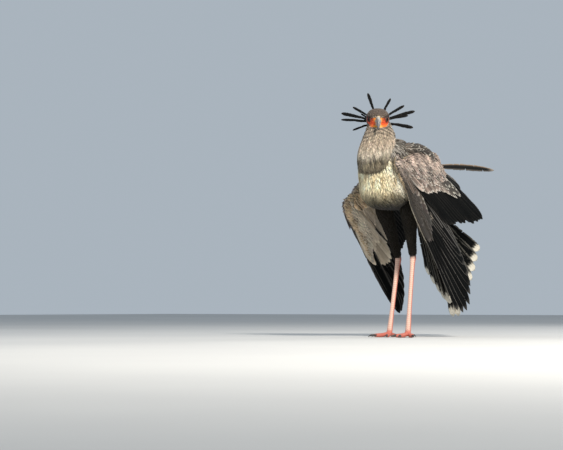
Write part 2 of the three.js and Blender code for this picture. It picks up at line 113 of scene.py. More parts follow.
WINGS = {
    "left": dict(
        side=1, shoulder=[58, -148, 706], elbow=[108, 22, 676], wrist=[100, -214, 664],
        upper=[[56, -152, 708, 34, 26], [74, -92, 710, 38, 30], [90, -34, 704, 38, 30], [101, 14, 676, 36, 26], [107, 58, 640, 24, 15]],
        edge=[[98, -242, 684], [100, -236, 646], [104, -194, 594], [107, -158, 542], [111, -115, 479], [117, -78, 436], [124, -38, 384]],
        sec_roots=[[106, -196, 640], [111, -100, 652], [112, 6, 664]],
        sec_tips=[[136, 84, 437], [141, 144, 436], [147, 215, 448], [152, 290, 446], [156, 344, 466]],
        pri_roots=[[106, -176, 612], [107, -158, 566], [109, -136, 512]],
        pri_tips=[[140, 146, 362], [150, 197, 275], [158, 240, 168], [159, 208, 84], [153, 122, 84]],
        outward=[1, -0.08, 0.1]),
    "right": dict(
        side=-1, shoulder=[-58, -134, 690], elbow=[-128, 6, 648], wrist=[-158, -168, 540],
        upper=[[-60, -140, 694, 38, 26], [-82, -92, 694, 48, 30], [-102, -38, 680, 52, 30], [-118, 16, 648, 48, 26], [-126, 66, 606, 30, 13]],
        edge=[[-154, -168, 562], [-165, -191, 520], [-170, -166, 470], [-172, -128, 434], [-176, -69, 388], [-180, -10, 336], [-182, 24, 307]],
        sec_roots=[[-160, -150, 524], [-148, -72, 582], [-136, 8, 632]],
        sec_tips=[[-148, 196, 296], [-140, 226, 336], [-132, 252, 376], [-125, 276, 414], [-118, 296, 454]],
        pri_roots=[[-157, -150, 516], [-163, -128, 474], [-171, -98, 428]],
        pri_tips=[[-145, 214, 292], [-158, 262, 210], [-178, 298, 128], [-189, 290, 82], [-188, 226, 132]],
        outward=[-0.95, 0.2, -0.1]),
}
TAIL_BASE = [0, 112, 520]
TAIL_TIPS = [[-104, 330, 262], [-68, 346, 196], [-30, 358, 140], [0, 372, 120], [34, 392, 158], [70, 408, 222], [92, 408, 292], [114, 406, 364]]
CENTRAL_TAIL_TIP = [11, 384, 70]
CREST = [
    [-94, 55, 10], [-138, 32, 14], [-139, 7, 10], [-95, -35, 8], [-36, 109, 12],
    [52, 88, 10], [105, 61, 11], [146, 40, 13], [120, 22, 9], [139, -24, 14],
]

# ---------------------------------------------------------------- vector maths
A = lambda v: np.asarray(v, float)
unit = lambda v: v / np.maximum(np.linalg.norm(v, axis=-1, keepdims=True), 1e-9)
lerp = lambda a, b, t: a + (b - a) * t


def step(lo, hi, x):
    """Smooth rise from 0 at lo to 1 at hi."""
    t = np.clip((A(x) - lo) / (hi - lo), 0, 1)
    return t * t * (3 - 2 * t)


def catmull(points, t):
    p = A(points)
    x = np.clip(np.atleast_1d(A(t)), 0, 1) * (len(p) - 1)
    i = np.minimum(np.floor(x).astype(int), len(p) - 2)
    w = (x - i)[..., None]
    e = np.vstack([2 * p[0] - p[1], p, 2 * p[-1] - p[-2]])
    p0, p1, p2, p3 = e[i], e[i + 1], e[i + 2], e[i + 3]
    a, b = 0.5 * (p2 - p0), 0.5 * (p3 - p1)
    return p1 + a * w + (-3 * p1 + 3 * p2 - 2 * a - b) * w**2 + (2 * p1 - 2 * p2 + a + b) * w**3


def rot(axis, angle):
    return np.array(Matrix.Rotation(angle, 3, axis))


HEAD_R = rot("Z", HEAD_TURN) @ rot("X", HEAD_NOD)
on_head = lambda p: A(p) @ HEAD_R.T + HEAD_AT
off_head = lambda p: (A(p) - HEAD_AT) @ HEAD_R
lo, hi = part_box("eye_left")
SHIFT = (A(lo) + A(hi)) / 2 / MM - on_head([EYE_SIDE, -EYE_FORWARD, EYE_UP])
to_row = lambda p: (A(p) + SHIFT) * MM  # layout millimetres to the row's metres


# ------------------------------------------------------------- rounded bodies
class Body:
    """A rounded body about a line, the same rule that gives the solids."""

    def __init__(s, axes, tips=(0.35, 0.35), round_=0.12, power=2.0, drop=0.0, place=None, extra=None):
        s.axes, s.tips, s.round, s.power, s.drop, s.place, s.extra = axes, tips, round_, power, drop, place, extra

    def at(s, t, phi, grow=0.0):
        t, phi, grow = np.broadcast_arrays(A(t), A(phi), A(grow))
        shape = t.shape
        t, phi, grow = t.ravel(), phi.ravel(), grow.ravel()
        tc = np.clip(t, 0, 1)
        p, ua, ub, la, lb = s.axes(tc)
        end = np.minimum(np.minimum(tc / s.round, (1 - tc) / s.round), 1)
        taper = np.maximum(np.where(tc < 0.5, *s.tips), np.sqrt(np.maximum(0, 1 - (1 - end) ** 2)))
        u, w = np.cos(phi), np.sin(phi)
        if s.power != 2:
            u = np.sign(u) * np.abs(u) ** (2 / s.power)
            w = np.sign(w) * np.abs(w) ** (2 / s.power)
        thin = 1 - s.drop * (u + 1) / 2
        ra = np.maximum(la * taper + grow, 0.2 * la * taper)
        rb = np.maximum(lb * taper * thin + grow, 0.2 * lb * taper * thin)
        out = p + ua * (ra * u)[:, None] + ub * (rb * w)[:, None]
        over = t - tc
        if np.any(over):
            h = 0.01
            slope = (s.axes(np.clip(tc + h, 0, 1))[0] - s.axes(np.clip(tc - h, 0, 1))[0]) / h
            out = out + slope * over[:, None]
        if s.extra is not None:
            out = s.extra(out, tc, phi)
        if s.place is not None:
            out = s.place(out)
        return out.reshape(shape + (3,))

    def normal(s, t, phi, grow=0.0):
        h = 1e-3
        t = np.clip(A(t), 2 * h, 1 - 2 * h)
        d1 = s.at(t, phi + h, grow) - s.at(t, phi - h, grow)
        d2 = s.at(t + h, phi, grow) - s.at(t - h, phi, grow)
        n = unit(np.cross(d1, d2))
        mid = (s.at(t, 0.0 * phi, grow) + s.at(t, 0.0 * phi + np.pi, grow)) / 2
        away = s.at(t, phi, grow) - mid
        return n * np.where((n * away).sum(-1) < 0, -1.0, 1.0)[..., None]

    def mesh(s, nt=40, nphi=32, grow=0.0):
        even = np.linspace(0, 1, nt)
        t = np.clip(even - 0.55 * np.sin(2 * np.pi * even) / (2 * np.pi), 0, 1)
        phi = np.linspace(0, 2 * np.pi, nphi, endpoint=False)
        v = s.at(t[:, None], phi[None], grow).reshape(-1, 3)
        ends = np.array([s.at(t[0], phi, grow).mean(0), s.at(t[-1], phi, grow).mean(0)])
        i, j = np.meshgrid(np.arange(nt - 1), np.arange(nphi), indexing="ij")
        k = (j + 1) % nphi
        quads = np.stack([i * nphi + j, i * nphi + k, (i + 1) * nphi + k, (i + 1) * nphi + j], -1).reshape(-1, 4)
        j = np.arange(nphi)
        a = np.stack([(j + 1) % nphi, j, np.full(nphi, nt * nphi), np.full(nphi, nt * nphi)], -1)
        b = np.stack([(nt - 1) * nphi + j, (nt - 1) * nphi + (j + 1) % nphi, np.full(nphi, nt * nphi + 1), np.full(nphi, nt * nphi + 1)], -1)
        return np.vstack([v, ends]), [tuple(q) for q in quads] + [tuple(q[:3]) for q in a] + [tuple(q[:3]) for q in b]


def swept(stations, across=(1, 0, 0), **kw):
    st = A(stations)
    ref = unit(A(across))

    def axes(t):
        p = catmull(st[:, :3], t)
        tan = unit(catmull(st[:, :3], np.minimum(t + 0.01, 1)) - catmull(st[:, :3], np.maximum(t - 0.01, 0)))
        ua = unit(ref - tan * (tan @ ref)[:, None])
        size = catmull(st[:, 3:5], t)
        return p, ua, np.cross(tan, ua), size[:, 0], size[:, 1]

    return Body(axes, **kw)


def lofted(stations, **kw):
    st = A(stations)

    def axes(t):
        f, b = catmull(st[:, [0, 1, 2]], t), catmull(st[:, [0, 3, 4]], t)
        half = (b - f) / 2
        n = len(f)
        return f + half, np.tile(A([1, 0, 0]), (n, 1)), unit(half), catmull(st[:, 5:6], t)[:, 0], np.linalg.norm(half, axis=1)

    return Body(axes, **kw)


trunk = lofted(TRUNK, tips=(0.5, 0.5), round_=0.12, power=2.25)


def neck_folds(p, t, phi):
    """Creases of the drawn-in neck under the chin, deepest in front."""
    z = p[:, 2] + 5 * np.sin(2.2 * phi + 0.8) + 2 * np.sin(5 * phi)
    window = step(0.10, 0.2, t) * (1 - step(0.36, 0.5, t))
    ring = np.sin(2 * np.pi * z / 15.0)
    out = unit(p - (A([3, -200, 0]) * [1, 1, 0] + p * [0, 0, 1]))
    return p + out * (0.7 * ring * window)[:, None]


neck = lofted(NECK, tips=(0.5, 0.6), round_=0.14, power=2.1)
neck_creased = lofted(NECK, tips=(0.5, 0.6), round_=0.14, power=2.1, extra=neck_folds)
skull = swept(SKULL, tips=(0.5, 0.6), round_=0.15, power=2.35, place=on_head)
upper_bill = swept(UPPER_BILL, tips=(0.9, 0.6), round_=0.06, place=on_head)
lower_bill = swept(LOWER_BILL, tips=(0.9, 0.4), round_=0.06, place=on_head)

mix = lambda a, b, t: list(A(a) + (A(b) - A(a)) * t)


class Leg:
    def __init__(s, name):
        g = LEGS[name]
        s.name, s.side, s.joint, s.knee, s.ankle = name, g["side"], g["joint"], g["knee"], g["ankle"]
        calf = lambda t: mix(g["knee"], g["ankle"], t)
        s.thigh = swept([[*g["hip"], 46, 54], [*g["knee"], 34, 42], [*calf(0.3), 27, 31], [*calf(0.62), 20, 22], [*calf(0.86), 16, 17], [*calf(0.99), 14.5, 15]], tips=(0.5, 0.7), round_=0.1)
        j = lambda t: mix(g["ankle"], g["joint"], t)
        R = TARSUS_RADIUS
        s.shank = swept([[*calf(0.9), 9, 10], [*j(0), 12, 13.5], [*j(0.1), 9.6, 11], [*j(0.3), R, 10], [*j(0.7), R, 10], [*j(0.9), 10.5, 11], [*j(1), 12, 11]], tips=(0.8, 0.7), round_=0.05)
        side, out = s.side, g["toe_out"]
        s.toes = [("inner", -side * 34 + side * out, SIDE_TOE), ("middle", side * out, MIDDLE_TOE),
                  ("outer", side * 38 + side * out, SIDE_TOE + 4), ("hind", 180 + side * out - side * 8, HIND_TOE)]

    def toe_point(s, toe, t, up, out=0.0):
        a = math.radians(toe[1])
        return [s.joint[0] + math.sin(a) * (toe[2] * t + out), s.joint[1] - math.cos(a) * (toe[2] * t + out), up]

    def toe(s, toe):
        r, a = TOE_RADIUS, math.radians(toe[1])
        p = lambda t, up, out=0.0: s.toe_point(toe, t, up, out)
        return swept([[s.joint[0], s.joint[1], FOOT_JOINT_HEIGHT - 3, 10, 9], [*p(0.3, r + 3.2), r * 1.05, r], [*p(0.55, r + 0.2), r * 1.08, r + 0.4],
                      [*p(0.8, r - 0.3), r * 0.95, r - 0.1], [*p(1.0, r - 0.8), r * 0.72, r * 0.72]], across=(math.cos(a), math.sin(a), 0), tips=(0.8, 0.6), round_=0.1)

    def sole(s):
        x, y, z = s.joint
        return swept([[x, y + 8, 11, 9, 9], [x, y, z, 12.5, 11], [x, y - 10, 10, 12, 9]], tips=(0.6, 0.6), round_=0.12)

    def claw(s, toe):
        r, a = TOE_RADIUS, math.radians(toe[1])
        p = lambda up, out: s.toe_point(toe, 1.0, up, out)
        return swept([[*p(r - 0.4, -7), 4.2, 4.6], [*p(r + 0.6, 4), 3.8, 4.2], [*p(r - 0.6, 0.55 * CLAW), 2.6, 3.0], [*p(1.9, 0.95 * CLAW), 0.9, 1.0]],
                     across=(math.cos(a), math.sin(a), 0), tips=(0.9, 0.7), round_=0.05)


class Wing:
    def __init__(s, name):
        g = WINGS[name]
        s.name, s.__dict__ = name, {**s.__dict__, **{k: (A(v) if isinstance(v, list) else v) for k, v in g.items()}}
        s.name = name
        s.fall = unit(s.sec_tips[2] - s.sec_roots[1])
        s.out = unit(s.outward)
        al = lambda t: s.wrist + (s.elbow - s.wrist) * t
        lower = lambda p, d: list(p + s.fall * d)
        s.arm = swept([[*lower(al(0), 22), 30, 17], [*lower(al(0.22), 40), 58, 22], [*lower(al(0.5), 56), 76, 25], [*lower(al(0.78), 62), 82, 24], [*lower(al(1.0), 62), 72, 20]],
                      across=s.fall, tips=(0.5, 0.5), round_=0.16, drop=0.72)
        widths = A([[16, 12, 0], [27, 15, 0], [34, 14, 0], [38, 12, 0], [36, 9, 0], [27, 6, 0], [12, 3.5, 0]])

        def hand_axes(t):
            p = catmull(s.edge, t)
            tan = unit(catmull(s.edge, np.minimum(t + 0.02, 1)) - catmull(s.edge, np.maximum(t - 0.02, 0)))
            ua = unit(np.cross(tan, s.out))
            ua = ua * np.where(ua[:, 1] < 0, -1.0, 1.0)[:, None]
            size = catmull(widths, t)
            return p + ua * size[:, :1], ua, np.cross(tan, ua), size[:, 0], size[:, 1]

        s.hand = Body(hand_axes, tips=(0.5, 0.4), round_=0.12, drop=0.6)
        s.upper_pad = swept(s.upper, across=(0.3 * s.side, 0.3, 0.9), tips=(0.5, 0.4), round_=0.16)

    def fan(s, kind, t, v):
        """A point of the sheet of flight feathers: t across the fan, v along a feather."""
        roots, tips = (s.sec_roots, s.sec_tips) if kind == "sec" else (s.pri_roots, s.pri_tips)
        bow = 9 if kind == "sec" else 8
        t, v = np.broadcast_arrays(A(t), A(v))
        a, b = catmull(roots, t.ravel()), catmull(tips, t.ravel())
        q = v.ravel()[:, None]
        return (a + (b - a) * q + s.out * bow * 4 * q * (1 - 0.72 * q) * 0.8).reshape(t.shape + (3,))


wings = {n: Wing(n) for n in ("left", "right")}
legs = {n: Leg(n) for n in ("left", "right")}
tail_pad = swept([[0, TAIL_BASE[1] - 20, TAIL_BASE[2] + 2, 30, 17], [0, TAIL_BASE[1] + 24, TAIL_BASE[2] - 20, 31, 15], [0, TAIL_BASE[1] + 70, TAIL_BASE[2] - 66, 28, 8]], tips=(0.7, 0.4), round_=0.15)


# ------------------------------------------------------------- making a mesh
def make_mesh(name, verts_m, faces, cols=None, uvs=None, floats=None, material=None, smooth=True):
    """verts_m in metres; faces a list of tuples, or up to four arrays of like faces;
    cols, floats and uvs per vertex (uvs are spread to the corners here)."""
    me = bpy.data.meshes.new(name)
    if len(faces) <= 4 and isinstance(faces[0], np.ndarray):
        idx = np.concatenate([f.reshape(-1) for f in faces])
        starts = np.cumsum(np.concatenate([[0]] + [np.full(len(f), f.shape[1]) for f in faces]))[:-1]
    else:
        idx = np.concatenate([np.asarray(f) for f in faces])
        starts = np.concatenate([[0], np.cumsum([len(f) for f in faces])[:-1]])
    me.vertices.add(len(verts_m))
    me.vertices.foreach_set("co", np.ascontiguousarray(verts_m, np.float32).ravel())
    me.loops.add(len(idx))
    me.loops.foreach_set("vertex_index", np.ascontiguousarray(idx, np.int32))
    me.polygons.add(len(starts))
    me.polygons.foreach_set("loop_start", np.ascontiguousarray(starts, np.int32))
    me.update(calc_edges=True)
    me.validate()
    me.polygons.foreach_set("use_smooth", np.full(len(me.polygons), smooth))
    paint(me, cols, uvs, floats)
    if material:
        me.materials.append(material)
    ob = bpy.data.objects.new(name, me)
    bpy.context.collection.objects.link(ob)
    return ob


def paint(me, cols=None, uvs=None, floats=None):
    idx = np.empty(len(me.loops), np.int32)
    me.loops.foreach_get("vertex_index", idx)
    for n, c in (cols or {}).items():
        at = me.color_attributes.new(n, "FLOAT_COLOR", "POINT")
        at.data.foreach_set("color", np.ascontiguousarray(np.c_[c, np.ones(len(c))], np.float32).ravel())
    for n, f in (floats or {}).items():
        me.attributes.new(n, "FLOAT", "POINT").data.foreach_set("value", np.ascontiguousarray(f, np.float32))
    for n, uv in (uvs or {}).items():
        me.uv_layers.new(name=n).data.foreach_set("uv", np.ascontiguousarray(A(uv)[idx], np.float32).ravel())


def own(ob, slot, *replaced):
    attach(ob, "root")
    if replaced:
        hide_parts(*replaced)
    return ob


def verts_of(me):
    v = np.empty(len(me.vertices) * 3, np.float32)
    me.vertices.foreach_get("co", v)
    return v.reshape(-1, 3).astype(float)


# ------------------------------------------------------------------ materials
def new_material(name):
    m = bpy.data.materials.new(name)
    m.use_nodes = True
    m.node_tree.nodes.clear()
    out = m.node_tree.nodes.new("ShaderNodeOutputMaterial")
    b = m.node_tree.nodes.new("ShaderNodeBsdfPrincipled")
    m.node_tree.links.new(b.outputs[0], out.inputs[0])
    return m, Nodes(m.node_tree), b


class Nodes:
    """Short calls for a node tree."""

    def __init__(s, tree):
        s.t = tree

    def new(s, kind, **kw):
        n = s.t.nodes.new(kind)
        for k, v in kw.items():
            setattr(n, k, v)
        return n

    def put(s, sock, v):
        if isinstance(v, bpy.types.NodeSocket):
            s.t.links.new(v, sock)
        elif isinstance(v, (tuple, list)) and len(v) == 3 and len(getattr(sock, "default_value", [0] * 3)) == 4:
            sock.default_value = (*v, 1)
        else:
            sock.default_value = v

    def math(s, op, a, b=0.0, c=None, clamp=False):
        n = s.new("ShaderNodeMath", operation=op, use_clamp=clamp)
        s.put(n.inputs[0], a)
        s.put(n.inputs[1], b)
        if c is not None:
            s.put(n.inputs[2], c)
        return n.outputs[0]

    def ramp(s, x, lo, hi, a=0.0, b=1.0):
        n = s.new("ShaderNodeMapRange", interpolation_type="SMOOTHSTEP")
        for k, v in zip(("Value", "From Min", "From Max", "To Min", "To Max"), (x, lo, hi, a, b)):
            s.put(n.inputs[k], v)
        return n.outputs[0]

    def mix(s, f, a, b, kind="MIX"):
        n = s.new("ShaderNodeMix", data_type="RGBA", blend_type=kind)
        s.put(n.inputs[0], f)
        s.put(n.inputs[6], a)
        s.put(n.inputs[7], b)
        return n.outputs[2]

    def attr(s, name, fac=False):
        n = s.new("ShaderNodeAttribute", attribute_name=name)
        return n.outputs["Fac" if fac else "Color"]

    def uv(s, name):
        n = s.new("ShaderNodeUVMap", uv_map=name)
        x = s.new("ShaderNodeSeparateXYZ")
        s.t.links.new(n.outputs[0], x.inputs[0])
        return x.outputs[0], x.outputs[1]

    def noise(s, scale, detail=3.0, rough=0.5, vector=None, kind="Fac"):
        n = s.new("ShaderNodeTexNoise")
        n.inputs["Scale"].default_value = scale
        n.inputs["Detail"].default_value = detail
        n.inputs["Roughness"].default_value = rough
        s.t.links.new(vector if vector is not None else s.coords(), n.inputs["Vector"])
        return n.outputs[kind]

    def coords(s):
        if not hasattr(s, "_c"):
            s._c = s.new("ShaderNodeTexCoord").outputs["Object"]
        return s._c

    def bump(s, height, strength, distance, under=None):
        n = s.new("ShaderNodeBump")
        s.put(n.inputs["Height"], height)
        n.inputs["Strength"].default_value = strength
        n.inputs["Distance"].default_value = distance
        if under is not None:
            s.t.links.new(under, n.inputs["Normal"])
        return n.outputs[0]


def feather_material(name, rough, sheen, barbs, edge=0.0, shaft=0.0, shaft_colour=(0.5, 0.45, 0.4), spec=0.35, mottle=0.25):
    """A vane: colour from the feather's own paint, its edge paler where the
    second paint says, fine barbs slanting from the shaft, and the shaft."""
    m, n, b = new_material(name)
    u, v = n.uv("vane")
    bu, bv = n.uv("barb")
    side = n.math("ABSOLUTE", n.math("SUBTRACT", u, 0.5))
    across = n.math("MULTIPLY", side, 2.0)
    wob = n.noise(260.0, 2.0)
    phase = n.math("SUBTRACT", n.math("MULTIPLY", bv, barbs), n.math("MULTIPLY", n.math("ABSOLUTE", bu), barbs * 1.25))
    phase = n.math("ADD", phase, n.math("MULTIPLY", wob, 2.6))
    lines = n.math("MULTIPLY_ADD", n.math("SINE", phase), 0.5, 0.5)
    col = n.attr("Col")
    if mottle:
        spots = n.noise(95.0, 4.0, 0.6)
        col = n.mix(n.ramp(spots, 0.25, 0.75, 0.0, mottle), col, n.mix(1.0, col, (0.45, 0.42, 0.38), "MULTIPLY"))
    if edge:
        rim = n.math("MAXIMUM", n.ramp(across, 0.52, 0.92), n.ramp(v, 0.86, 0.98))
        amount = n.math("MULTIPLY", n.math("MULTIPLY", rim, n.attr("Rim", True)), edge)
        col = n.mix(amount, col, n.attr("Edge"))
    col = n.mix(n.math("MULTIPLY", lines, 0.22), col, n.mix(1.0, col, (0.55, 0.55, 0.55), "MULTIPLY"))
    if shaft:
        quill = n.math("MULTIPLY", n.ramp(across, 0.0, 0.10, 1.0, 0.0), shaft)
        col = n.mix(n.math("MULTIPLY", quill, n.ramp(v, 0.98, 0.6)), col, shaft_colour)
    n.put(b.inputs["Base Color"], col)
    n.put(b.inputs["Roughness"], n.math("MULTIPLY_ADD", lines, 0.12, rough))
    b.inputs["Specular IOR Level"].default_value = spec
    b.inputs["Sheen Weight"].default_value = sheen
    b.inputs["Sheen Roughness"].default_value = 0.5
    height = n.math("ADD", n.math("MULTIPLY", lines, 0.6), n.math("MULTIPLY", n.ramp(across, 0.0, 0.14, 1.0, 0.0), 0.8))
    n.put(b.inputs["Normal"], n.bump(height, 0.5, 0.0004))
    return m


MAT = {
    "soft": feather_material("soft_plumage", 0.8, 0.08, 7.0, edge=0.5, mottle=0.22),
    "covert": feather_material("wing_covert", 0.7, 0.06, 5.5, edge=0.9, shaft=0.35, shaft_colour=(0.12, 0.09, 0.07), mottle=0.35),
    # on the black feathers the shaft colour is paler than the vane: a painted highlight along the shaft
    "flight": feather_material("flight_feather", 0.52, 0.0, 4.2, edge=0.5, shaft=0.7, shaft_colour=(0.03, 0.027, 0.024), spec=0.015, mottle=0.0),
    "black": feather_material("black_plumage", 0.62, 0.03, 6.0, edge=0.35, mottle=0.1, spec=0.06),
}


def skin_material():
    m, n, b = new_material("skin")
    col = n.attr("Col")
    scale = n.attr("Scute", True)
    face = n.attr("Face", True)
    fine = n.noise(420.0, 4.0, 0.6)
    big = n.noise(60.0, 3.0, 0.5)
    col = n.mix(n.math("MULTIPLY", n.ramp(fine, 0.3, 0.75), 0.22), col, n.mix(1.0, col, (0.6, 0.5, 0.45), "MULTIPLY"))
    col = n.mix(n.math("MULTIPLY", n.ramp(big, 0.35, 0.7), 0.2), col, n.mix(1.0, col, (1.25, 1.15, 1.1), "MULTIPLY"))
    vor = n.new("ShaderNodeTexVoronoi", feature="DISTANCE_TO_EDGE")
    vor.inputs["Scale"].default_value = 330.0
    n.t.links.new(n.coords(), vor.inputs["Vector"])
    cell = n.ramp(vor.outputs["Distance"], 0.0, 0.12)
    col = n.mix(n.math("MULTIPLY", n.math("SUBTRACT", 1.0, cell), n.math("MULTIPLY", scale, 0.45)), col, n.mix(1.0, col, (0.45, 0.3, 0.28), "MULTIPLY"))
    n.put(b.inputs["Base Color"], col)
    n.put(b.inputs["Roughness"], n.math("MULTIPLY_ADD", fine, 0.2, 0.42))
    b.inputs["Subsurface Weight"].default_value = 0.08
    b.inputs["Subsurface Radius"].default_value = (0.004, 0.0015, 0.0008)
    b.inputs["Subsurface Scale"].default_value = 0.5
    h1 = n.bump(n.math("MULTIPLY", cell, scale), 0.5, 0.0007)
    h2 = n.bump(n.math("MULTIPLY", fine, n.math("MULTIPLY_ADD", face, 0.8, 0.25)), 0.35, 0.0006, h1)
    n.put(b.inputs["Normal"], h2)
    return m


def horn_material(name, rough, streak=90.0):
    m, n, b = new_material(name)
    col = n.attr("Col")
    grain = n.noise(streak, 5.0, 0.6)
    fine = n.noise(700.0, 2.0)
    col = n.mix(n.math("MULTIPLY", n.ramp(grain, 0.35, 0.7), 0.45), col, n.mix(1.0, col, (0.6, 0.58, 0.55), "MULTIPLY"))
    n.put(b.inputs["Base Color"], col)
    n.put(b.inputs["Roughness"], n.math("MULTIPLY_ADD", grain, 0.18, rough))
    b.inputs["Coat Weight"].default_value = 0.15
    b.inputs["Coat Roughness"].default_value = 0.3
    n.put(b.inputs["Normal"], n.bump(n.math("ADD", grain, n.math("MULTIPLY", fine, 0.3)), 0.25, 0.0005))
    return m


def eye_material():
    m, n, b = new_material("eye_ball")
    col = n.attr("Col")
    iris = n.noise(1500.0, 3.0)
    col = n.mix(n.math("MULTIPLY", n.ramp(iris, 0.35, 0.7), 0.4), col, n.mix(1.0, col, (0.5, 0.45, 0.4), "MULTIPLY"))
    n.put(b.inputs["Base Color"], col)
    b.inputs["Roughness"].default_value = 0.3
    b.inputs["Specular IOR Level"].default_value = 0.0
    b.inputs["Coat Weight"].default_value = 0.4
    b.inputs["Coat Roughness"].default_value = 0.02
    return m


SKIN_MAT, BILL_MAT, CLAW_MAT, EYE_MAT = skin_material(), horn_material("bill_horn", 0.32), horn_material("claw_horn", 0.35, 140.0), eye_material()

# --------------------------------------------------------------- tone palette
CROWN = A([0.135, 0.10, 0.078])
CHEEK = A([0.42, 0.36, 0.29])
NECK_PALE = A([0.55, 0.44, 0.33])
# painted shade for the folds of the neck's creases
NECK_CREASE_SHADE = A([0.22, 0.185, 0.14])
BIB = A([0.53, 0.465, 0.37])
# painted shade for the lower edge of the bib, where it overhangs the breast
BIB_UNDERSIDE_SHADE = A([0.145, 0.118, 0.070])
CREAM = A([0.95, 0.81, 0.53])
CREAM_PALE = A([0.86, 0.80, 0.65])
BACK_GREY = A([0.30, 0.275, 0.25])
SCAPULAR = A([0.027, 0.021, 0.016])
COVERT = A([0.34, 0.285, 0.24])
COVERT_DARK = A([0.12, 0.09, 0.072])
COVERT_LIGHT = A([0.61, 0.475, 0.40])
COVERT_PALE = A([0.74, 0.66, 0.58])
PRIMARY_COVERT = A([0.040, 0.032, 0.025])
BLACK = A([0.0032, 0.0036, 0.0038])
THIGH = A([0.0125, 0.0105, 0.0075])
UNDER = A([0.57, 0.42, 0.26])
UNDER_GREY = A([0.56, 0.505, 0.41])
UNDER_PALE = A([0.68, 0.58, 0.44])
WHITE = A([0.72, 0.68, 0.58])
TAIL_GREY = A([0.30, 0.28, 0.26])
FACE_RED = A([0.62, 0.040, 0.008])
FACE_ORANGE = A([0.80, 0.16, 0.012])
FACE_YELLOW = A([0.84, 0.40, 0.03])
LEG_PINK = A([0.60, 0.17, 0.12])
LEG_PALE = A([0.74, 0.54, 0.44])


# ----------------------------------------------------------- coats of feathers
class Coat:
    """Gathers vanes and makes them into joined pieces."""

    def __init__(s, name, material, slot, limit=190000):
        s.name, s.material, s.slot, s.limit, s.parts = name, material, slot, limit, []

    def add(s, P, N, W, colour, edge, rim, root_uv, nu=2, camber=0.25, tip_round=0.5, ragged=0.0, ridge=0.12, thin=0.35):
        """P (n,k,3) the shafts, N normals, W (n,k) half widths, colour (n,3) or
        (n,k,3). Each vane is a closed sliver: an arched top and a flat back."""
        n, k = P.shape[:2]
        if n == 0:
            return
        T = unit(np.gradient(P, axis=1))
        B = unit(np.cross(T, N))
        N = np.cross(B, T)
        m = nu + 1
        u, v = np.linspace(-1, 1, m), np.linspace(0, 1, k)
        W = np.broadcast_to(W, (n, k))
        side = W[:, :, None] * u
        high = ridge * W[:, :, None] * (1 - np.abs(u)) + thin * (1 - u**2) - camber * W[:, :, None] * u**2
        X = P[:, :, None] + B[:, :, None] * side[..., None] + N[:, :, None] * high[..., None]
        back = tip_round * W[:, :, None] * u**2 * (v[None, :, None] > 0.6) * v[None, :, None] ** 3
        X = X - T[:, :, None] * back[..., None]
        if ragged:
            r = RNG.normal(0, 1, (n, m))
            X = X + T[:, -1:, None] * (ragged * r[:, None, :] * W.max(1)[:, None, None] * step(0.5, 1.0, v)[None, :, None])[..., None]
        colour = A(colour)
        C = np.broadcast_to((colour[:, None, :] if colour.ndim == 2 else colour)[:, :, None, :], X.shape)
        E = np.broadcast_to(np.broadcast_to(A(edge), (n, 3))[:, None, None, :], X.shape)
        R = np.broadcast_to(np.broadcast_to(A(rim), (n,))[:, None, None], X.shape[:3])
        vane = np.stack(np.broadcast_arrays((u[None, None] + 1) / 2, v[None, :, None] + 0 * side), -1)
        L = np.linalg.norm(np.diff(P, axis=1), axis=2).sum(1)
        barb = np.stack([side, v[None, :, None] * L[:, None, None] + 0 * side], -1)
        bake = root_uv[:, None, None, :] + (vane - 0.5) * 0.003
        s.parts.append((k, m, *(q.reshape(n, k * m, -1) for q in (X, C, E, R, vane, barb, bake))))

    def finish(s):
        """One object, or several under the limit, of all that was added."""
        made, batch, tris = [], [], 0

        def flush():
            nonlocal batch, tris
            if not batch:
                return
            Q, T3, base, cols = [], [], 0, [[] for _ in range(7)]
            for k, m, *data in batch:
                n = len(data[0])
                q, t3 = sliver(k, m)
                first = base + np.arange(n)[:, None, None] * (k * m)
                Q.append((q[None] + first).reshape(-1, 4))
                T3.append((t3[None] + first).reshape(-1, 3))
                for c, d in zip(cols, data):
                    c.append(d.reshape(n * k * m, -1))
                base += n * k * m
            X, C, E, R, V, B, K = (np.vstack(c) for c in cols)
            name = s.name if not made else f"{s.name}_{len(made) + 1}"
            ob = make_mesh(name, to_row(X), [np.vstack(Q), np.vstack(T3)], {"Col": np.clip(C, 0, 1), "Edge": np.clip(E, 0, 1)}, {"OFBake": K, "vane": V, "barb": B}, {"Rim": R[:, 0]}, s.material)
            made.append(own(ob, s.slot))
            batch, tris = [], 0

        for k, m, *data in s.parts:
            q, t3 = sliver(k, m)
            per, i, n = 2 * len(q) + len(t3), 0, len(data[0])
            while i < n:
                room = (s.limit - tris) // per
                if room <= 0:
                    flush()
                    continue
                j = min(n, i + room)
                batch.append((k, m, *(d[i:j] for d in data)))
                tris += (j - i) * per
                i = j
        flush()
        return made


def sliver(k, m):
    """Faces of a closed vane of k rows and m columns: top, back and both ends."""
    i = np.arange(k * m).reshape(k, m)
    top = np.stack([i[:-1, :-1], i[:-1, 1:], i[1:, 1:], i[1:, :-1]], -1).reshape(-1, 4)
    under = np.stack([i[:-1, 0], i[1:, 0], i[1:, -1], i[:-1, -1]], -1)
    j = np.arange(1, m - 1)
    start = np.stack([np.full(m - 2, i[0, 0]), i[0, j + 1], i[0, j]], -1)
    end = np.stack([np.full(m - 2, i[-1, 0]), i[-1, j], i[-1, j + 1]], -1)
    return np.vstack([top, under]), np.vstack([start, end])


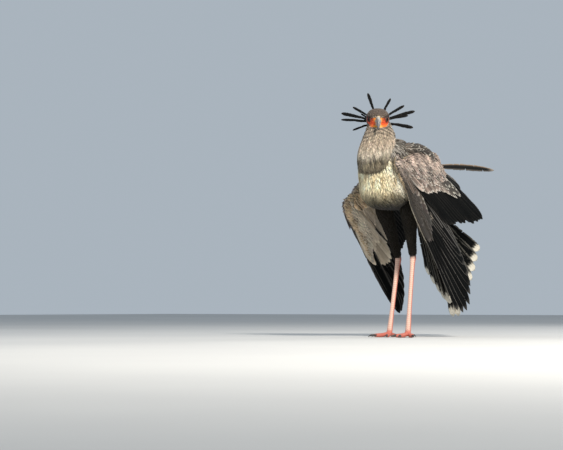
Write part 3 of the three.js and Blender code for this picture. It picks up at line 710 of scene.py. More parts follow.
def rows_on(body, spacing_t, spacing_across, t0=0.0, t1=1.0, phi0=0.0, phi1=2 * np.pi, jitter=0.3):
    """Roots in staggered rows over a body: arrays t and phi."""
    ts = np.linspace(t0, t1, 200)
    line = body.axes(np.clip(ts, 0, 1))[0]
    s = np.concatenate([[0], np.cumsum(np.linalg.norm(np.diff(line, axis=0), axis=1))])
    rows = max(int(s[-1] / spacing_t), 1)
    T, PH = [], []
    for i in range(rows + 1):
        t = np.interp(s[-1] * i / rows, s, ts)
        ph = np.linspace(phi0, phi1, 160)
        ring = body.at(np.full(160, t), ph)
        c = np.concatenate([[0], np.cumsum(np.linalg.norm(np.diff(ring, axis=0), axis=1))])
        n = max(int(c[-1] / spacing_across), 3)
        q = (np.arange(n) + 0.5 * (i % 2) + RNG.uniform(-jitter, jitter, n)) / n * c[-1]
        PH.append(np.interp(q % c[-1] if phi1 - phi0 > 6.2 else np.clip(q, 0, c[-1]), c, ph))
        T.append(t + RNG.uniform(-jitter, jitter, n) * (t1 - t0) / rows)
    return np.concatenate(T), np.concatenate(PH)


def blade(v, base=0.45, widest=0.55, tip=0.5):
    """Half width of a vane along it, 1 at its widest."""
    rise = base + (1 - base) * np.sin(np.clip(v / widest, 0, 1) * np.pi / 2)
    fall = 1 - (1 - tip) * np.clip((v - widest) / (1 - widest), 0, 1) ** 2
    return np.where(v < widest, rise, fall)


def rounded(v, base=0.5, widest=0.5, tip_from=0.72, power=2.2, least=0.12):
    """Half width of a vane with a rounded end."""
    rise = base + (1 - base) * np.sin(np.clip(v / widest, 0, 1) * np.pi / 2)
    x = np.clip((v - tip_from) / (1 - tip_from), 0, 1)
    return rise * np.maximum(np.sqrt(np.maximum(1 - x**power, 0)), least)


def charted(t, phi, rect=(0.02, 0.02, 0.98, 0.98)):
    x = (phi / (2 * np.pi)) % 1.0
    y = np.clip(t, 0, 1)
    return np.stack([rect[0] + x * (rect[2] - rect[0]), rect[1] + y * (rect[3] - rect[1])], -1)


class Inside:
    """Says how deep points lie inside a closed body's mesh."""

    def __init__(s, verts, faces):
        s.tree = BVHTree.FromPolygons([tuple(v) for v in verts], faces)

    def depth(s, pts):
        out = np.empty(len(pts))
        for i, p in enumerate(pts):
            co, no, _, d = s.tree.find_nearest(Vector(p))
            out[i] = -d if (Vector(p) - co).dot(no) > 0 else d
        return out


def check_facing(verts, faces):
    """Turns a closed mesh's faces outwards."""
    v = A(verts)
    c = v.mean(0)
    vol = 0.0
    for f in faces:
        a, b, d = v[f[0]] - c, v[f[1]] - c, v[f[2]] - c
        vol += np.dot(a, np.cross(b, d))
        if len(f) == 4:
            vol += np.dot(a, np.cross(d, v[f[3]] - c))
    return faces if vol > 0 else [tuple(reversed(f)) for f in faces]


def closed(body, nt=40, nphi=32, grow=0.0):
    v, f = body.mesh(nt, nphi, grow)
    return v, check_facing(v, f)


SOLIDS = {
    "trunk": trunk, "neck": neck, "skull": skull,
    **{f"{n}_{q}": b for n, w in wings.items() for q, b in (("arm", w.arm), ("hand", w.hand), ("upper", w.upper_pad))},
    **{f"{n}_thigh": g.thigh for n, g in legs.items()},
}
INSIDE = {k: Inside(*closed(b, 28, 24)) for k, b in SOLIDS.items()}


def hidden(points, *others, by=3.0):
    """True where a point lies deeper than `by` in any of the other bodies."""
    bad = np.zeros(len(points), bool)
    for o in others:
        left = ~bad
        bad[left] |= INSIDE[o].depth(points[left]) > by
    return bad


# ------------------------------------------------------------------ the skin
def head_shape(p):
    """Eye pits with a raised lid round each, pressed into the skin of the head (row-free, mm)."""
    q = off_head(p)
    near = 1 - step(58, 75, np.linalg.norm(q - A([0, 0, 0]), axis=1))
    out = p.copy()
    for side in (1, -1):
        e = A([side * EYE_SIDE, -EYE_FORWARD, EYE_UP])
        axis = unit(A([side * 0.86, -0.5, 0.06]))
        d = q - e
        r = np.linalg.norm(d, axis=1)
        cosang = (d @ axis) / np.maximum(r, 1e-6)
        ang = np.degrees(np.arccos(np.clip(cosang, -1, 1)))
        close = (r < 26) & (near > 0.5)
        # pit inside the lids, a raised lid round it, then back to the cheek
        pit, lid = 8.2, EYE_RADIUS + 0.9
        want = np.where(ang < 43, pit, np.where(ang < 50, lerp(pit, lid, np.clip((ang - 43) / 5, 0, 1)), lid))
        blend = 1 - step(62, 88, ang)
        new_r = lerp(r, want, blend)
        w = np.where(close, 1.0, 0.0)
        out = out + ((d / np.maximum(r, 1e-6)[:, None]) * ((new_r - r) * w)[:, None]) @ HEAD_R.T
    return out


def build_skin():
    pieces = [
        (trunk, 60, 56, -8.0), (neck, 44, 44, -7.0), (skull, 40, 40, -2.2), (tail_pad, 20, 24, -4.0),
    ]
    for w in wings.values():
        pieces += [(w.arm, 36, 30, -4.0), (w.hand, 40, 24, -2.5), (w.upper_pad, 36, 30, -7.0)]
    for g in legs.values():
        pieces += [(g.thigh, 44, 30, -3.5)]
    V, F, base = [], [], 0
    for body, nt, nphi, grow in pieces:
        v, f = closed(body, nt, nphi, grow)
        V.append(v)
        F += [tuple(i + base for i in q) for q in f]
        base += len(v)
    raw = make_mesh("skin_raw", A(np.vstack(V)) * MM, F)
    main = remeshed(raw, 0.0034, 5)
    # the head needs finer facets for its face
    bm_fine(main, lambda c: np.linalg.norm(off_head(c / MM), axis=1) < 62)
    bm_fine(main, lambda c: (np.abs(off_head(c / MM)[:, 1] + 24) < 24) & (np.abs(off_head(c / MM)[:, 2] - 2) < 22) & (np.linalg.norm(off_head(c / MM), axis=1) < 60))
    v = verts_of(main) / MM
    v = head_shape(v)
    main.vertices.foreach_set("co", (v * MM).astype(np.float32).ravel())
    leg_parts = []
    for g in legs.values():
        V, F, base = [], [], 0
        for body, nt, nphi in [(g.shank, 70, 24), (g.sole(), 12, 20)] + [(g.toe(t), 26, 18) for t in g.toes]:
            a, f = closed(body, nt, nphi, -0.25)
            V.append(a)
            F += [tuple(i + base for i in q) for q in f]
            base += len(a)
        raw = make_mesh("leg_raw", A(np.vstack(V)) * MM, F)
        leg_parts.append(scutes(remeshed(raw, 0.0014, 3), g))
    return main, leg_parts


def remeshed(ob, voxel, smooth):
    mod = ob.modifiers.new("r", "REMESH")
    mod.mode, mod.voxel_size = "VOXEL", voxel
    sm = ob.modifiers.new("s", "SMOOTH")
    sm.factor, sm.iterations = 0.5, smooth
    dg = bpy.context.evaluated_depsgraph_get()
    me = bpy.data.meshes.new_from_object(ob.evaluated_get(dg))
    bpy.data.objects.remove(ob)
    return me


def bm_fine(me, pick):
    import bmesh
    bm = bmesh.new()
    bm.from_mesh(me)
    c = np.array([f.calc_center_median() for f in bm.faces])
    keep = pick(c)
    faces = [f for f, k in zip(bm.faces, keep) if k]
    edges = list({e for f in faces for e in f.edges})
    bmesh.ops.subdivide_edges(bm, edges=edges, cuts=1, use_grid_fill=True, smooth=0.0)
    bm.to_mesh(me)
    bm.free()


def scutes(me, g):
    """Broad scutes down the front of the tarsus and over the toes."""
    v = verts_of(me) / MM
    x, y, z = v.T
    a, j = A(g.ankle), A(g.joint)
    t = np.clip((a[2] - z) / (a[2] - j[2]), 0, 1)
    centre = a[None] + (j - a)[None] * t[:, None]
    d = v - centre
    front = step(-0.15, 0.55, -d[:, 1] / np.maximum(np.linalg.norm(d[:, :2], axis=1), 1e-6))
    shin = step(22, 34, z)
    saw = ((z + 1.6 * np.sin(d[:, 0] * 0.5)) / 8.2) % 1.0
    plate = (1 - saw) ** 0.5
    groove = 1 - step(0.0, 0.14, np.minimum(saw, 1 - saw))
    push = shin * (front * (0.55 * plate - 0.9 * groove) - 0.1)
    # toes: rings across the top
    out = np.zeros(len(v))
    for toe in g.toes:
        an = math.radians(toe[1])
        dirn = A([math.sin(an), -math.cos(an)])
        rel = v[:, :2] - j[None, :2]
        along = rel @ dirn
        off = np.abs(rel @ A([dirn[1], -dirn[0]]))
        on = (along > 14) & (off < 11) & (z < 24)
        saw2 = (along / 6.2) % 1.0
        g2 = 1 - step(0.0, 0.18, np.minimum(saw2, 1 - saw2))
        out = np.where(on, (0.45 * (1 - saw2) ** 0.5 - 0.7 * g2) * step(3.0, 9.0, z), out)
    nrm = np.empty(len(me.vertices) * 3, np.float32)
    me.vertices.foreach_get("normal", nrm)
    v = v + nrm.reshape(-1, 3) * (push + out * (1 - shin))[:, None]
    v[:, 2] = np.maximum(v[:, 2], 0.0)
    me.vertices.foreach_set("co", (v * MM).astype(np.float32).ravel())
    me["front"] = 0
    return me


def face_mask(q):
    """1 on the bare skin of the face, in head coordinates (mm)."""
    ax = np.abs(q[:, 0])
    y, z = q[:, 1], q[:, 2]
    top = lerp(11.0, 16.0, step(-40, -24, y)) - step(-8, 4, y) * 7
    bottom = lerp(-22.5, -13.0, step(-34, -6, y))
    back = -1.5 + 0.0 * y
    m = step(-2.5, 1.5, top - z) * step(-2.5, 1.5, z - bottom) * (1 - step(back, back + 4.0, y)) * step(5.0, 10.0, ax + 0.4 * np.maximum(-32 - y, 0) * 3)
    return m * step(-60, -50, y)


def under_face_shadow(q):
    """1 in the painted shadow that runs along below the bare face, rising to the back."""
    low = lerp(-22.5, -13.0, step(-34, -6, q[:, 1]))
    return np.exp(-((q[:, 2] - low + 4.0) / 2.6) ** 2) * (1 - step(-12, -2, q[:, 1])) * step(-52, -44, q[:, 1])


def skin_paint(p):
    """Colour, scute and face weights of the skin at layout points p."""
    q = off_head(p)
    n = len(p)
    z = p[:, 2]
    col = np.tile(NECK_PALE, (n, 1))
    # trunk: cream below, grey above, dark under the tail and between the thighs
    front = step(-40, 60, p[:, 1] - (z - 640) * 0.2 + 60)
    body = CREAM + (BACK_GREY - CREAM) * front[:, None]
    col = np.where((z < 640)[:, None], body, lerp(col, BACK_GREY, (step(-150, -90, p[:, 1]))[:, None]))
    low = 1 - step(488, 520, z) * 1.0
    col = lerp(col, THIGH, (low * step(-190, -120, p[:, 1]))[:, None])
    wing = step(88, 100, np.abs(p[:, 0]))
    col = lerp(col, COVERT * 0.6, wing[:, None])
    head = 1 - step(50, 62, np.linalg.norm(q, axis=1))
    headc = lerp(CHEEK, CROWN, np.maximum(step(2, 16, q[:, 2] + 0.25 * q[:, 1]), step(2, 8, q[:, 2]) * (1 - step(-16, -4, q[:, 1])))[:, None])
    col = lerp(col, headc, head[:, None])
    # painted shadow below the bare face
    col = lerp(col, CROWN * 0.3, (under_face_shadow(q) * 0.85 * head)[:, None])
    face = face_mask(q) * (np.linalg.norm(q, axis=1) < 64)
    near_bill = 1 - step(-44, -37, q[:, 1])
    low_face = 1 - step(-20, -10, q[:, 2])
    fc = lerp(lerp(FACE_RED, FACE_ORANGE, (0.5 + 0.5 * np.sin(q[:, 2] * 0.9 + q[:, 1] * 0.4))[:, None] * 0.45), FACE_YELLOW, np.clip(near_bill * 0.75 + low_face * 0.25, 0, 1)[:, None])
    for side in (1, -1):
        d = q - A([side * EYE_SIDE, -EYE_FORWARD, EYE_UP])
        r = np.linalg.norm(d, axis=1)
        axis = unit(A([side * 0.86, -0.5, 0.06]))
        ang = np.degrees(np.arccos(np.clip((d @ axis) / np.maximum(r, 1e-6), -1, 1)))
        near = (r < 24)
        flat = np.linalg.norm(d - (d @ axis)[:, None] * axis, axis=1)
        # a dark ring round each eye: the dark lid margin, with painted shade in the socket around it
        ring = (1 - step(9.3, 13.0, flat)) * near
        fc = lerp(fc, A([0.03, 0.02, 0.018]), (ring * 0.92)[:, None])
        # painted shadow of the brow above each eye
        above = np.exp(-((ang - 66) / 16) ** 2) * near * step(2, 7, d[:, 2])
        fc = lerp(fc, A([0.06, 0.015, 0.008]), (above * 0.9)[:, None])
    before = np.exp(-((q[:, 1] + 36.0) / 4.5) ** 2 - ((q[:, 2] - 6.5) / 5.0) ** 2)
    fc = lerp(fc, A([0.055, 0.012, 0.006]), (before * 0.75)[:, None])
    # the red face behind the eye darkened: its own red with painted shade from the brow and lashes
    behind = step(-19, -10, q[:, 1] + 0.12 * q[:, 2])
    fc = lerp(fc, A([0.20, 0.016, 0.005]), (behind * 0.85)[:, None])
    # painted shade in the wrinkles of the bare face
    face_wrinkle_shade = 0.5 + 0.5 * np.sin(q[:, 1] * 1.5 + 2.2 * np.sin(q[:, 2] * 0.5) + q[:, 2] * 0.6)
    fc = fc * (1 - 0.22 * face_wrinkle_shade**3)[:, None]
    col = lerp(col, fc, step(0.02, 0.30, face)[:, None])
    return col, face


main, leg_meshes = build_skin()
v = verts_of(main) / MM
col, face = skin_paint(v)
thighs = (v[:, 2] < 486) & (np.abs(v[:, 0]) < 92)
col[thighs] = THIGH
skin_parts = [(main, v, col, np.zeros(len(v)), face)]
for me, g in zip(leg_meshes, legs.values()):
    v = verts_of(me) / MM
    a, j = A(g.ankle), A(g.joint)
    t = np.clip((a[2] - v[:, 2]) / (a[2] - j[2]), 0, 1)
    d = v - (a[None] + (j - a)[None] * t[:, None])
    front = step(-0.05, 0.6, -d[:, 1] / np.maximum(np.linalg.norm(d[:, :2], axis=1), 1e-6)) * step(20, 34, v[:, 2])
    saw = ((v[:, 2] + 1.6 * np.sin(d[:, 0] * 0.5)) / 8.2) % 1.0
    groove = 1 - step(0.0, 0.16, np.minimum(saw, 1 - saw))
    c = lerp(np.tile(LEG_PINK, (len(v), 1)), LEG_PALE, (front * 0.85)[:, None])
    c = lerp(c, LEG_PINK * 0.55, (groove * front * 0.6)[:, None])
    toe = 1 - step(14, 30, v[:, 2])
    c = lerp(c, LEG_PINK * [0.85, 0.85, 0.9], (toe * 0.5)[:, None])
    c = lerp(c, THIGH * 2, (step(300, 316, v[:, 2]) * 0.8)[:, None])
    skin_parts.append((me, v, c, 1 - front * 0.9, np.zeros(len(v))))


def join_skin(parts):
    V, F, C, S, FC, base = [], [], [], [], [], 0
    for me, v, c, s, f in parts:
        idx = np.empty(len(me.loops), np.int32)
        me.loops.foreach_get("vertex_index", idx)
        tot = np.empty(len(me.polygons), np.int32)
        me.polygons.foreach_get("loop_total", tot)
        V.append(v)
        start = np.concatenate([[0], np.cumsum(tot)])
        F += [tuple(int(k) + base for k in idx[start[i]:start[i + 1]]) for i in range(len(tot))]
        C.append(c); S.append(s); FC.append(f)
        base += len(v)
    return make_mesh("skin", to_row(np.vstack(V)), F, {"Col": np.clip(np.vstack(C), 0, 1)}, None, {"Scute": np.concatenate(S), "Face": np.concatenate(FC)}, SKIN_MAT)


skin = join_skin(skin_parts)
own(skin, "leg_skin", "head", "neck", "trunk", "tail", *[f"{n}_{q}" for n in ("left", "right") for q in ("thigh", "shank", "foot", "wing_upper", "wing_forearm", "wing_hand")])

print("skin faces", len(skin.data.polygons))
# ---------------------------------------------------------------- the stage
def build_stage():
    n, size = 24, 14.0
    g = np.linspace(-size, size, n + 1)
    x, y = np.meshgrid(g, g, indexing="ij")
    v = np.stack([x.ravel(), y.ravel() + 2.0, np.zeros(x.size)], -1)
    i, j = np.meshgrid(np.arange(n), np.arange(n), indexing="ij")
    a = i * (n + 1) + j
    f = np.stack([a, a + n + 1, a + n + 2, a + 1], -1).reshape(-1, 4)
    m, nd, b = new_material("floor")
    tone = nd.noise(0.8, 3.0)
    nd.put(b.inputs["Base Color"], nd.mix(nd.ramp(tone, 0.3, 0.7), (0.50, 0.50, 0.495), (0.54, 0.54, 0.53)))
    nd.put(b.inputs["Roughness"], nd.math("MULTIPLY_ADD", tone, 0.1, 0.72))
    floor = make_mesh("floor", v, [f], material=m)
    floor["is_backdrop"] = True
    world = bpy.data.worlds.new("studio")
    world.use_nodes = True
    bg = world.node_tree.nodes["Background"]
    bg.inputs[0].default_value = (0.50, 0.57, 0.64, 1)
    bg.inputs[1].default_value = 0.8
    bpy.context.scene.view_settings.view_transform = "Standard"
    bpy.context.scene.world = world

    def lamp(name, at, aim, size, power, colour):
        d = bpy.data.lights.new(name, "AREA")
        d.shape, d.size, d.energy, d.color = "DISK", size, power, colour
        ob = bpy.data.objects.new(name, d)
        bpy.context.collection.objects.link(ob)
        ob.location = at
        ob.rotation_euler = (Vector(aim) - Vector(at)).to_track_quat("-Z", "Y").to_euler()

    lamp("key", (3.3, -2.2, 3.6), (0, 0, 0.55), 1.0, 375, (1.0, 0.94, 0.85))
    lamp("fill", (-3.4, -2.6, 1.6), (0, 0, 0.5), 2.6, 26, (0.86, 0.93, 1.0))
    lamp("rim", (0.8, 3.6, 2.6), (0, 0, 0.6), 2.0, 55, (1.0, 0.97, 0.93))


def build_camera():
    th = math.radians(35)
    f, r = A([-math.sin(th), math.cos(th), 0]), A([math.cos(th), math.sin(th), 0])
    at = -7000 * f - 483.6 * r + A([0, 0, 120])
    pitch = math.atan((436.8 - 120) / 7000)
    look = f * math.cos(pitch) + A([0, 0, 1]) * math.sin(pitch)
    cam = bpy.data.cameras.new("camera")
    cam.sensor_fit, cam.sensor_width, cam.lens = "HORIZONTAL", 36.0, 36.0 * (7000 / 3.9) / 563
    cam.clip_end = 100
    ob = bpy.data.objects.new("camera", cam)
    bpy.context.collection.objects.link(ob)
    ob.location = Vector(to_row(at))
    ob.rotation_euler = Vector(look).to_track_quat("-Z", "Y").to_euler()
    bpy.context.scene.camera = ob


build_stage()
build_camera()


# --------------------------------------------------- shafts lying over bodies
def march(body, t, phi, length, k, heading):
    """Station by station over the body's surface, `heading` from the +t way."""
    n = len(t)
    length, heading = np.broadcast_to(A(length), (n,)), np.broadcast_to(A(heading), (n,))
    T, PH = [A(t)], [A(phi)]
    h = 0.004
    for _ in range(k - 1):
        a, b = T[-1], PH[-1]
        per_t = np.linalg.norm(body.at(a + h, b) - body.at(a - h, b), axis=1) / (2 * h)
        per_p = np.linalg.norm(body.at(a, b + h) - body.at(a, b - h), axis=1) / (2 * h)
        ds = length / (k - 1)
        T.append(a + ds * np.cos(heading) / np.maximum(per_t, 20))
        PH.append(b + ds * np.sin(heading) / np.maximum(per_p, 6))
    return np.stack(T, 1), np.stack(PH, 1)


def lay(body, t, phi, length, k, heading=0.0, depth=4.0, lift=0.0, ruffle=0.0):
    TT, PP = march(body, t, phi, length, k, heading)
    n = len(t)
    depth, lift, ruffle = (np.broadcast_to(A(q), (n,))[:, None] for q in (depth, lift, ruffle))
    v = np.linspace(0, 1, k)[None]
    P = body.at(TT, PP, -depth + (depth + lift) * v**0.7)
    N = body.normal(TT, PP)
    return P + N * (ruffle * v**2)[..., None], N


def noise_of(p, scale, seed=0.0):
    """Smooth noise from a few sines, about -1 to 1."""
    q = A(p) / scale
    x, y, z = q[..., 0] + seed, q[..., 1] - seed * 0.7, q[..., 2] + seed * 1.3
    return (np.sin(x * 1.7 + np.sin(y * 1.3 + z)) + np.sin(y * 1.9 - 1.1 * np.sin(z * 1.5 - x)) + np.sin(z * 2.1 + np.sin(x * 1.2 + y * 0.8))) / 3


def vary(col, amount, n):
    return col * (1 + amount * RNG.normal(0, 1, (n, 1))) * (1 + 0.25 * amount * RNG.normal(0, 1, (n, 3)))


# ------------------------------------------------------------- trunk plumage
def trunk_colour(p, w, t):
    grey = step(-0.15, 0.5, w)
    c = lerp(CREAM, CREAM_PALE, (step(-0.9, -0.3, w))[:, None])
    c = lerp(c, BACK_GREY, grey[:, None])
    # darker towards the bottom of the front: the lower belly's own dark feathers together with painted shade beneath
    # the trunk
    belly_dark_and_shade = (1 - step(522, 604, p[:, 2] + 12 * noise_of(p, 24.0, 3.0))) * (1 - step(0.1, 0.6, w))
    c = lerp(c, A([0.036, 0.030, 0.011]), (belly_dark_and_shade * 0.95)[:, None])
    belly = np.maximum(step(0.46, 0.56, t), 1 - step(506, 534, p[:, 2])) * (1 - step(0.0, 0.5, w))
    c = lerp(c, THIGH * 1.3, belly[:, None])
    nape = step(664, 700, p[:, 2] + 8 * noise_of(p, 14.0, 6.0)) * step(-0.95, -0.6, w)
    c = lerp(c, lerp(BACK_GREY * 0.9, SCAPULAR * 1.3, (step(-0.3, 0.5, noise_of(p * A([1, 1, 0.4]), 6.0, 6.0)))[:, None]), (nape * 0.9)[:, None])
    rump = step(0.84, 0.92, t) * step(0.1, 0.5, w)
    c = lerp(c, WHITE * 0.9, rump[:, None])
    stain = step(0.1, 0.7, noise_of(p, 26.0))
    c = c * (1 - 0.14 * stain)[:, None]
    streak = noise_of(p * A([1.0, 1.0, 0.4]), 9.0, 7.0)
    c = lerp(c, c * A([0.50, 0.44, 0.33]), (step(0.15, 0.8, streak) * 0.75)[:, None])
    return lerp(c, np.minimum(c * 1.35, 0.97), (step(0.1, 0.6, -streak) * 0.8)[:, None])


body_coat = Coat("breast_and_back_feathers", MAT["soft"], "cream_plumage")


def coat_trunk():
    t, ph = rows_on(trunk, 5.6, 5.2, 0.0, 1.0, jitter=0.45)
    at = trunk.at(t, ph)
    keep = ~hidden(at, "neck", "left_upper", "right_upper", "left_thigh", "right_thigh", "skull", by=9.0)
    keep &= ~hidden(at, "left_arm", "right_arm", by=5.0)
    t, ph, at = t[keep], ph[keep], at[keep]
    n = len(t)
    w = np.sin(ph)
    length = lerp(28, 42, step(0.1, 0.8, t)) * RNG.uniform(0.8, 1.2, n)
    fringe = (1 - step(500, 545, at[:, 2])) * (1 - step(-0.2, 0.5, w)) * (1 - step(0.5, 0.7, t))
    length = length * (1 + 0.5 * fringe + 0.7 * step(0.82, 0.95, t) * step(0, 0.4, w))
    P, N = lay(trunk, t, ph, length, 5, RNG.normal(0, 0.14, n) * (1 + 1.5 * fringe), depth=6.5, lift=RNG.uniform(-0.5, 0.5, n), ruffle=RNG.uniform(0, 0.9, n) + fringe * RNG.uniform(0, 6, n))
    W = lerp(3.4, 4.9, step(0.1, 0.8, t))[:, None] * blade(np.linspace(0, 1, 5), 0.6, 0.42, 0.12)[None]
    col = vary(trunk_colour(at, w, t), 0.07, n)
    edge = np.clip(col * 1.22 + 0.01, 0, 0.92)
    # each feather darkened towards its root: painted shade where it lies under the feathers before it
    shade = np.stack([col * 0.80, col * 0.90, col, col * 1.03, col * 1.06], 1)
    body_coat.add(P, N, W, shade, edge, 0.6, charted(t, ph), ragged=0.35, thin=0.09, ridge=0.04, camber=0.11)


def neck_colour(p, t, ph):
    swing = np.abs((ph + 0.98 + np.pi) % (2 * np.pi) - np.pi)
    z = p[:, 2] + 17 * np.minimum(swing, 1.5) + 2.5 * np.sin(4 * ph + 1)
    window = step(0.07, 0.12, t) * (1 - step(0.34, 0.46, t))
    ring = 0.5 - 0.5 * np.sin(2 * np.pi * z / 15.0)
    back = step(-0.1, 0.75, np.sin(ph))
    c = lerp(NECK_PALE, BIB, step(0.42, 0.6, t)[:, None])
    c = lerp(c, BACK_GREY * 1.15, (back * 0.85)[:, None])
    # the bib darkened towards its lower edge: painted shade under its overhang
    low = (1 - step(652, 700, p[:, 2] + 7 * np.sin(3 * ph) + 9 * noise_of(p, 15.0, 5.0))) * (1 - back)
    c = lerp(c, BIB_UNDERSIDE_SHADE, (low * 0.9)[:, None])
    # the creased band lightened a little as painted light on its ridges, and its folds darkened as painted shade,
    # strongest in front
    c = lerp(np.minimum(c * (1 + 0.12 * window[:, None]), 0.85), NECK_CREASE_SHADE * 0.30, (ring**1.5 * window * 0.97 * (1 - 0.5 * back))[:, None])
    top = 1 - step(0.05, 0.13, t)
    c = lerp(c, CROWN * 1.5, (top * 0.5)[:, None])
    # painted shadow below the bare face
    c = lerp(c, CROWN * 0.5, (under_face_shadow(off_head(p)) * 0.8)[:, None])
    streak = noise_of(p * A([1.0, 1.0, 0.28]), 5.5, 2.0)
    c = lerp(c, c * 0.40, (step(0.1, 0.7, streak) * (0.8 - 0.4 * window))[:, None])
    return lerp(c, np.minimum(c * 1.5, 0.88), (step(0.1, 0.6, -streak) * 0.8)[:, None])


neck_coat = Coat("neck_feathers", MAT["soft"], "grey_plumage")


def coat_neck():
    fine, coarse = rows_on(neck, 3.2, 2.8, 0.0, 0.30, jitter=0.45), rows_on(neck, 4.3, 3.8, 0.30, 1.0, jitter=0.45)
    t, ph = (np.concatenate(q) for q in zip(fine, coarse))
    at = neck_creased.at(t, ph)
    q = off_head(at)
    keep = ~hidden(at, "skull", by=5.0) & ~hidden(at, "trunk", "left_upper", "right_upper", by=9.0)
    keep &= ~((face_mask(q) > 0.9) & (np.linalg.norm(q, axis=1) < 66))
    t, ph, at = t[keep], ph[keep], at[keep]
    n = len(t)
    by_face = 1 - step(52, 66, np.linalg.norm(off_head(at), axis=1))
    length = lerp(11, 36, step(0.02, 0.55, t)) * RNG.uniform(0.8, 1.2, n) * (1 - 0.3 * by_face)
    P, N = lay(neck_creased, t, ph, length, 5, RNG.normal(0, 0.14, n), depth=lerp(3.0, 5.0, step(0.1, 0.4, t)), lift=RNG.uniform(-0.4, 0.5, n), ruffle=RNG.uniform(0, 1.0, n) * lerp(0.3, 1.5, step(0.5, 0.9, t)))
    # the lowest feathers of the bib leave the skin and hang free over the breast, by uneven lengths
    loose = np.random.default_rng(23)
    hang = step(640, 656, at[:, 2]) * (1 - step(678, 704, at[:, 2])) * step(-0.1, 0.35, -np.sin(ph)) * loose.uniform(0.25, 1, n)
    long_by = loose.uniform(0.55, 1.2, n)
    down = unit(unit(P[:, 1] - P[:, 0]) * 0.25 + A([0.0, 0.10, -1.0]) + loose.normal(0, 0.10, (n, 3)) * [1, 0.3, 0])
    free = P[:, :1] + down[:, None] * (length * long_by)[:, None, None] * np.linspace(0, 1, 5)[None, :, None] + N[:, :1] * 0.8
    w = (hang[:, None] * np.linspace(0, 1, 5)[None] ** 0.8)[:, :, None]
    P = P * (1 - w) + free * w
    N = unit(N * (1 - w) + N[:, :1] * w)
    W = (lerp(1.3, 2.9, step(0.02, 0.6, t)) * (1 - 0.25 * by_face))[:, None] * blade(np.linspace(0, 1, 5), 0.6, 0.38, 0.08)[None]
    own_tone = vary(np.ones((n, 3)), 0.08, n)
    # each feather darkened towards its root: painted shade where it lies under the feathers before it
    shade = np.stack([neck_colour(P[:, j], t, ph) * own_tone * f for j, f in enumerate((0.84, 0.92, 1.0, 1.03, 1.05))], 1)
    neck_coat.add(P, N, W, shade, np.clip(shade[:, 3] * 1.15, 0, 0.92), 0.5, charted(t, ph), ragged=0.3, thin=0.07, ridge=0.04, camber=0.10)


coat_trunk()
coat_neck()
body_coat.finish()
neck_coat.finish()


# -------------------------------------------------------------------- thighs
thigh_coat = Coat("thigh_feathers", MAT["black"], "black_plumage")


def coat_thighs():
    for i, (name, g) in enumerate(legs.items()):
        t, ph = rows_on(g.thigh, 5.4, 4.8, 0.02, 0.985)
        at = g.thigh.at(t, ph)
        keep = ~hidden(at, "trunk", by=8.0)
        t, ph, at = t[keep], ph[keep], at[keep]
        n = len(t)
        length = lerp(30, 11, step(0.25, 0.95, t)) * RNG.uniform(0.85, 1.15, n)
        P, N = lay(g.thigh, t, ph, length, 5, RNG.normal(0, 0.1, n), depth=lerp(5.0, 2.2, step(0.3, 0.9, t)), lift=RNG.uniform(-0.8, 0.6, n), ruffle=RNG.uniform(0, 1.5, n))
        W = lerp(4.4, 2.2, step(0.3, 0.95, t))[:, None] * blade(np.linspace(0, 1, 5), 0.6, 0.5, 0.25)[None]
        tip = step(0.2, 0.9, noise_of(at, 30.0, 4.0))[:, None]
        col = vary(THIGH * (1 + 0.8 * tip), 0.12, n)
        x0 = 0.02 + 0.49 * i
        thigh_coat.add(P, N, W, col, np.clip(col * 2.2 + 0.01, 0, 1), 0.5, charted(t, ph, (x0, 0.02, x0 + 0.46, 0.98)), ragged=0.35, thin=0.16, ridge=0.08)


coat_thighs()
thigh_coat.finish()

# ----------------------------------------------------- feathers of the wings
covert_coat = Coat("wing_covert_feathers", MAT["covert"], "wing_coverts")


def cad_tree(*names):
    V, F, base = [], [], 0
    inv = -SHIFT
    for n in names:
        ob = bpy.data.objects[n]
        m = np.array(ob.matrix_world)
        v = verts_of(ob.data) @ m[:3, :3].T + m[:3, 3]
        V.append(v / MM - SHIFT)
        F += [tuple(base + i for i in p.vertices) for p in ob.data.polygons]
        base += len(v)
    return BVHTree.FromPolygons([tuple(q) for q in np.vstack(V)], F)


def flow(body, t, phi, length, k, toward):
    """Station by station over the body's surface, drawn toward one direction."""
    n = len(t)
    length = np.broadcast_to(A(length), (n,))
    D = np.broadcast_to(A(toward), (n, 3))
    T, PH = [A(t)], [A(phi)]
    h = 0.004
    ds = length / (k - 1)
    for _ in range(k - 1):
        a, b = T[-1], PH[-1]
        et = (body.at(a + h, b) - body.at(a - h, b)) / (2 * h)
        ep = (body.at(a, b + h) - body.at(a, b - h)) / (2 * h)
        g11, g12, g22 = (et * et).sum(1), (et * ep).sum(1), (ep * ep).sum(1)
        b1, b2 = (et * D).sum(1), (ep * D).sum(1)
        det = np.maximum(g11 * g22 - g12**2, 1e-3 * g11 * g22 + 1e-6)
        dt, dp = (g22 * b1 - g12 * b2) / det, (g11 * b2 - g12 * b1) / det
        size = np.linalg.norm(et * dt[:, None] + ep * dp[:, None], axis=1)
        k_ = ds / np.maximum(size, 0.4)
        T.append(a + dt * k_)
        PH.append(b + dp * k_)
    return np.stack(T, 1), np.stack(PH, 1)


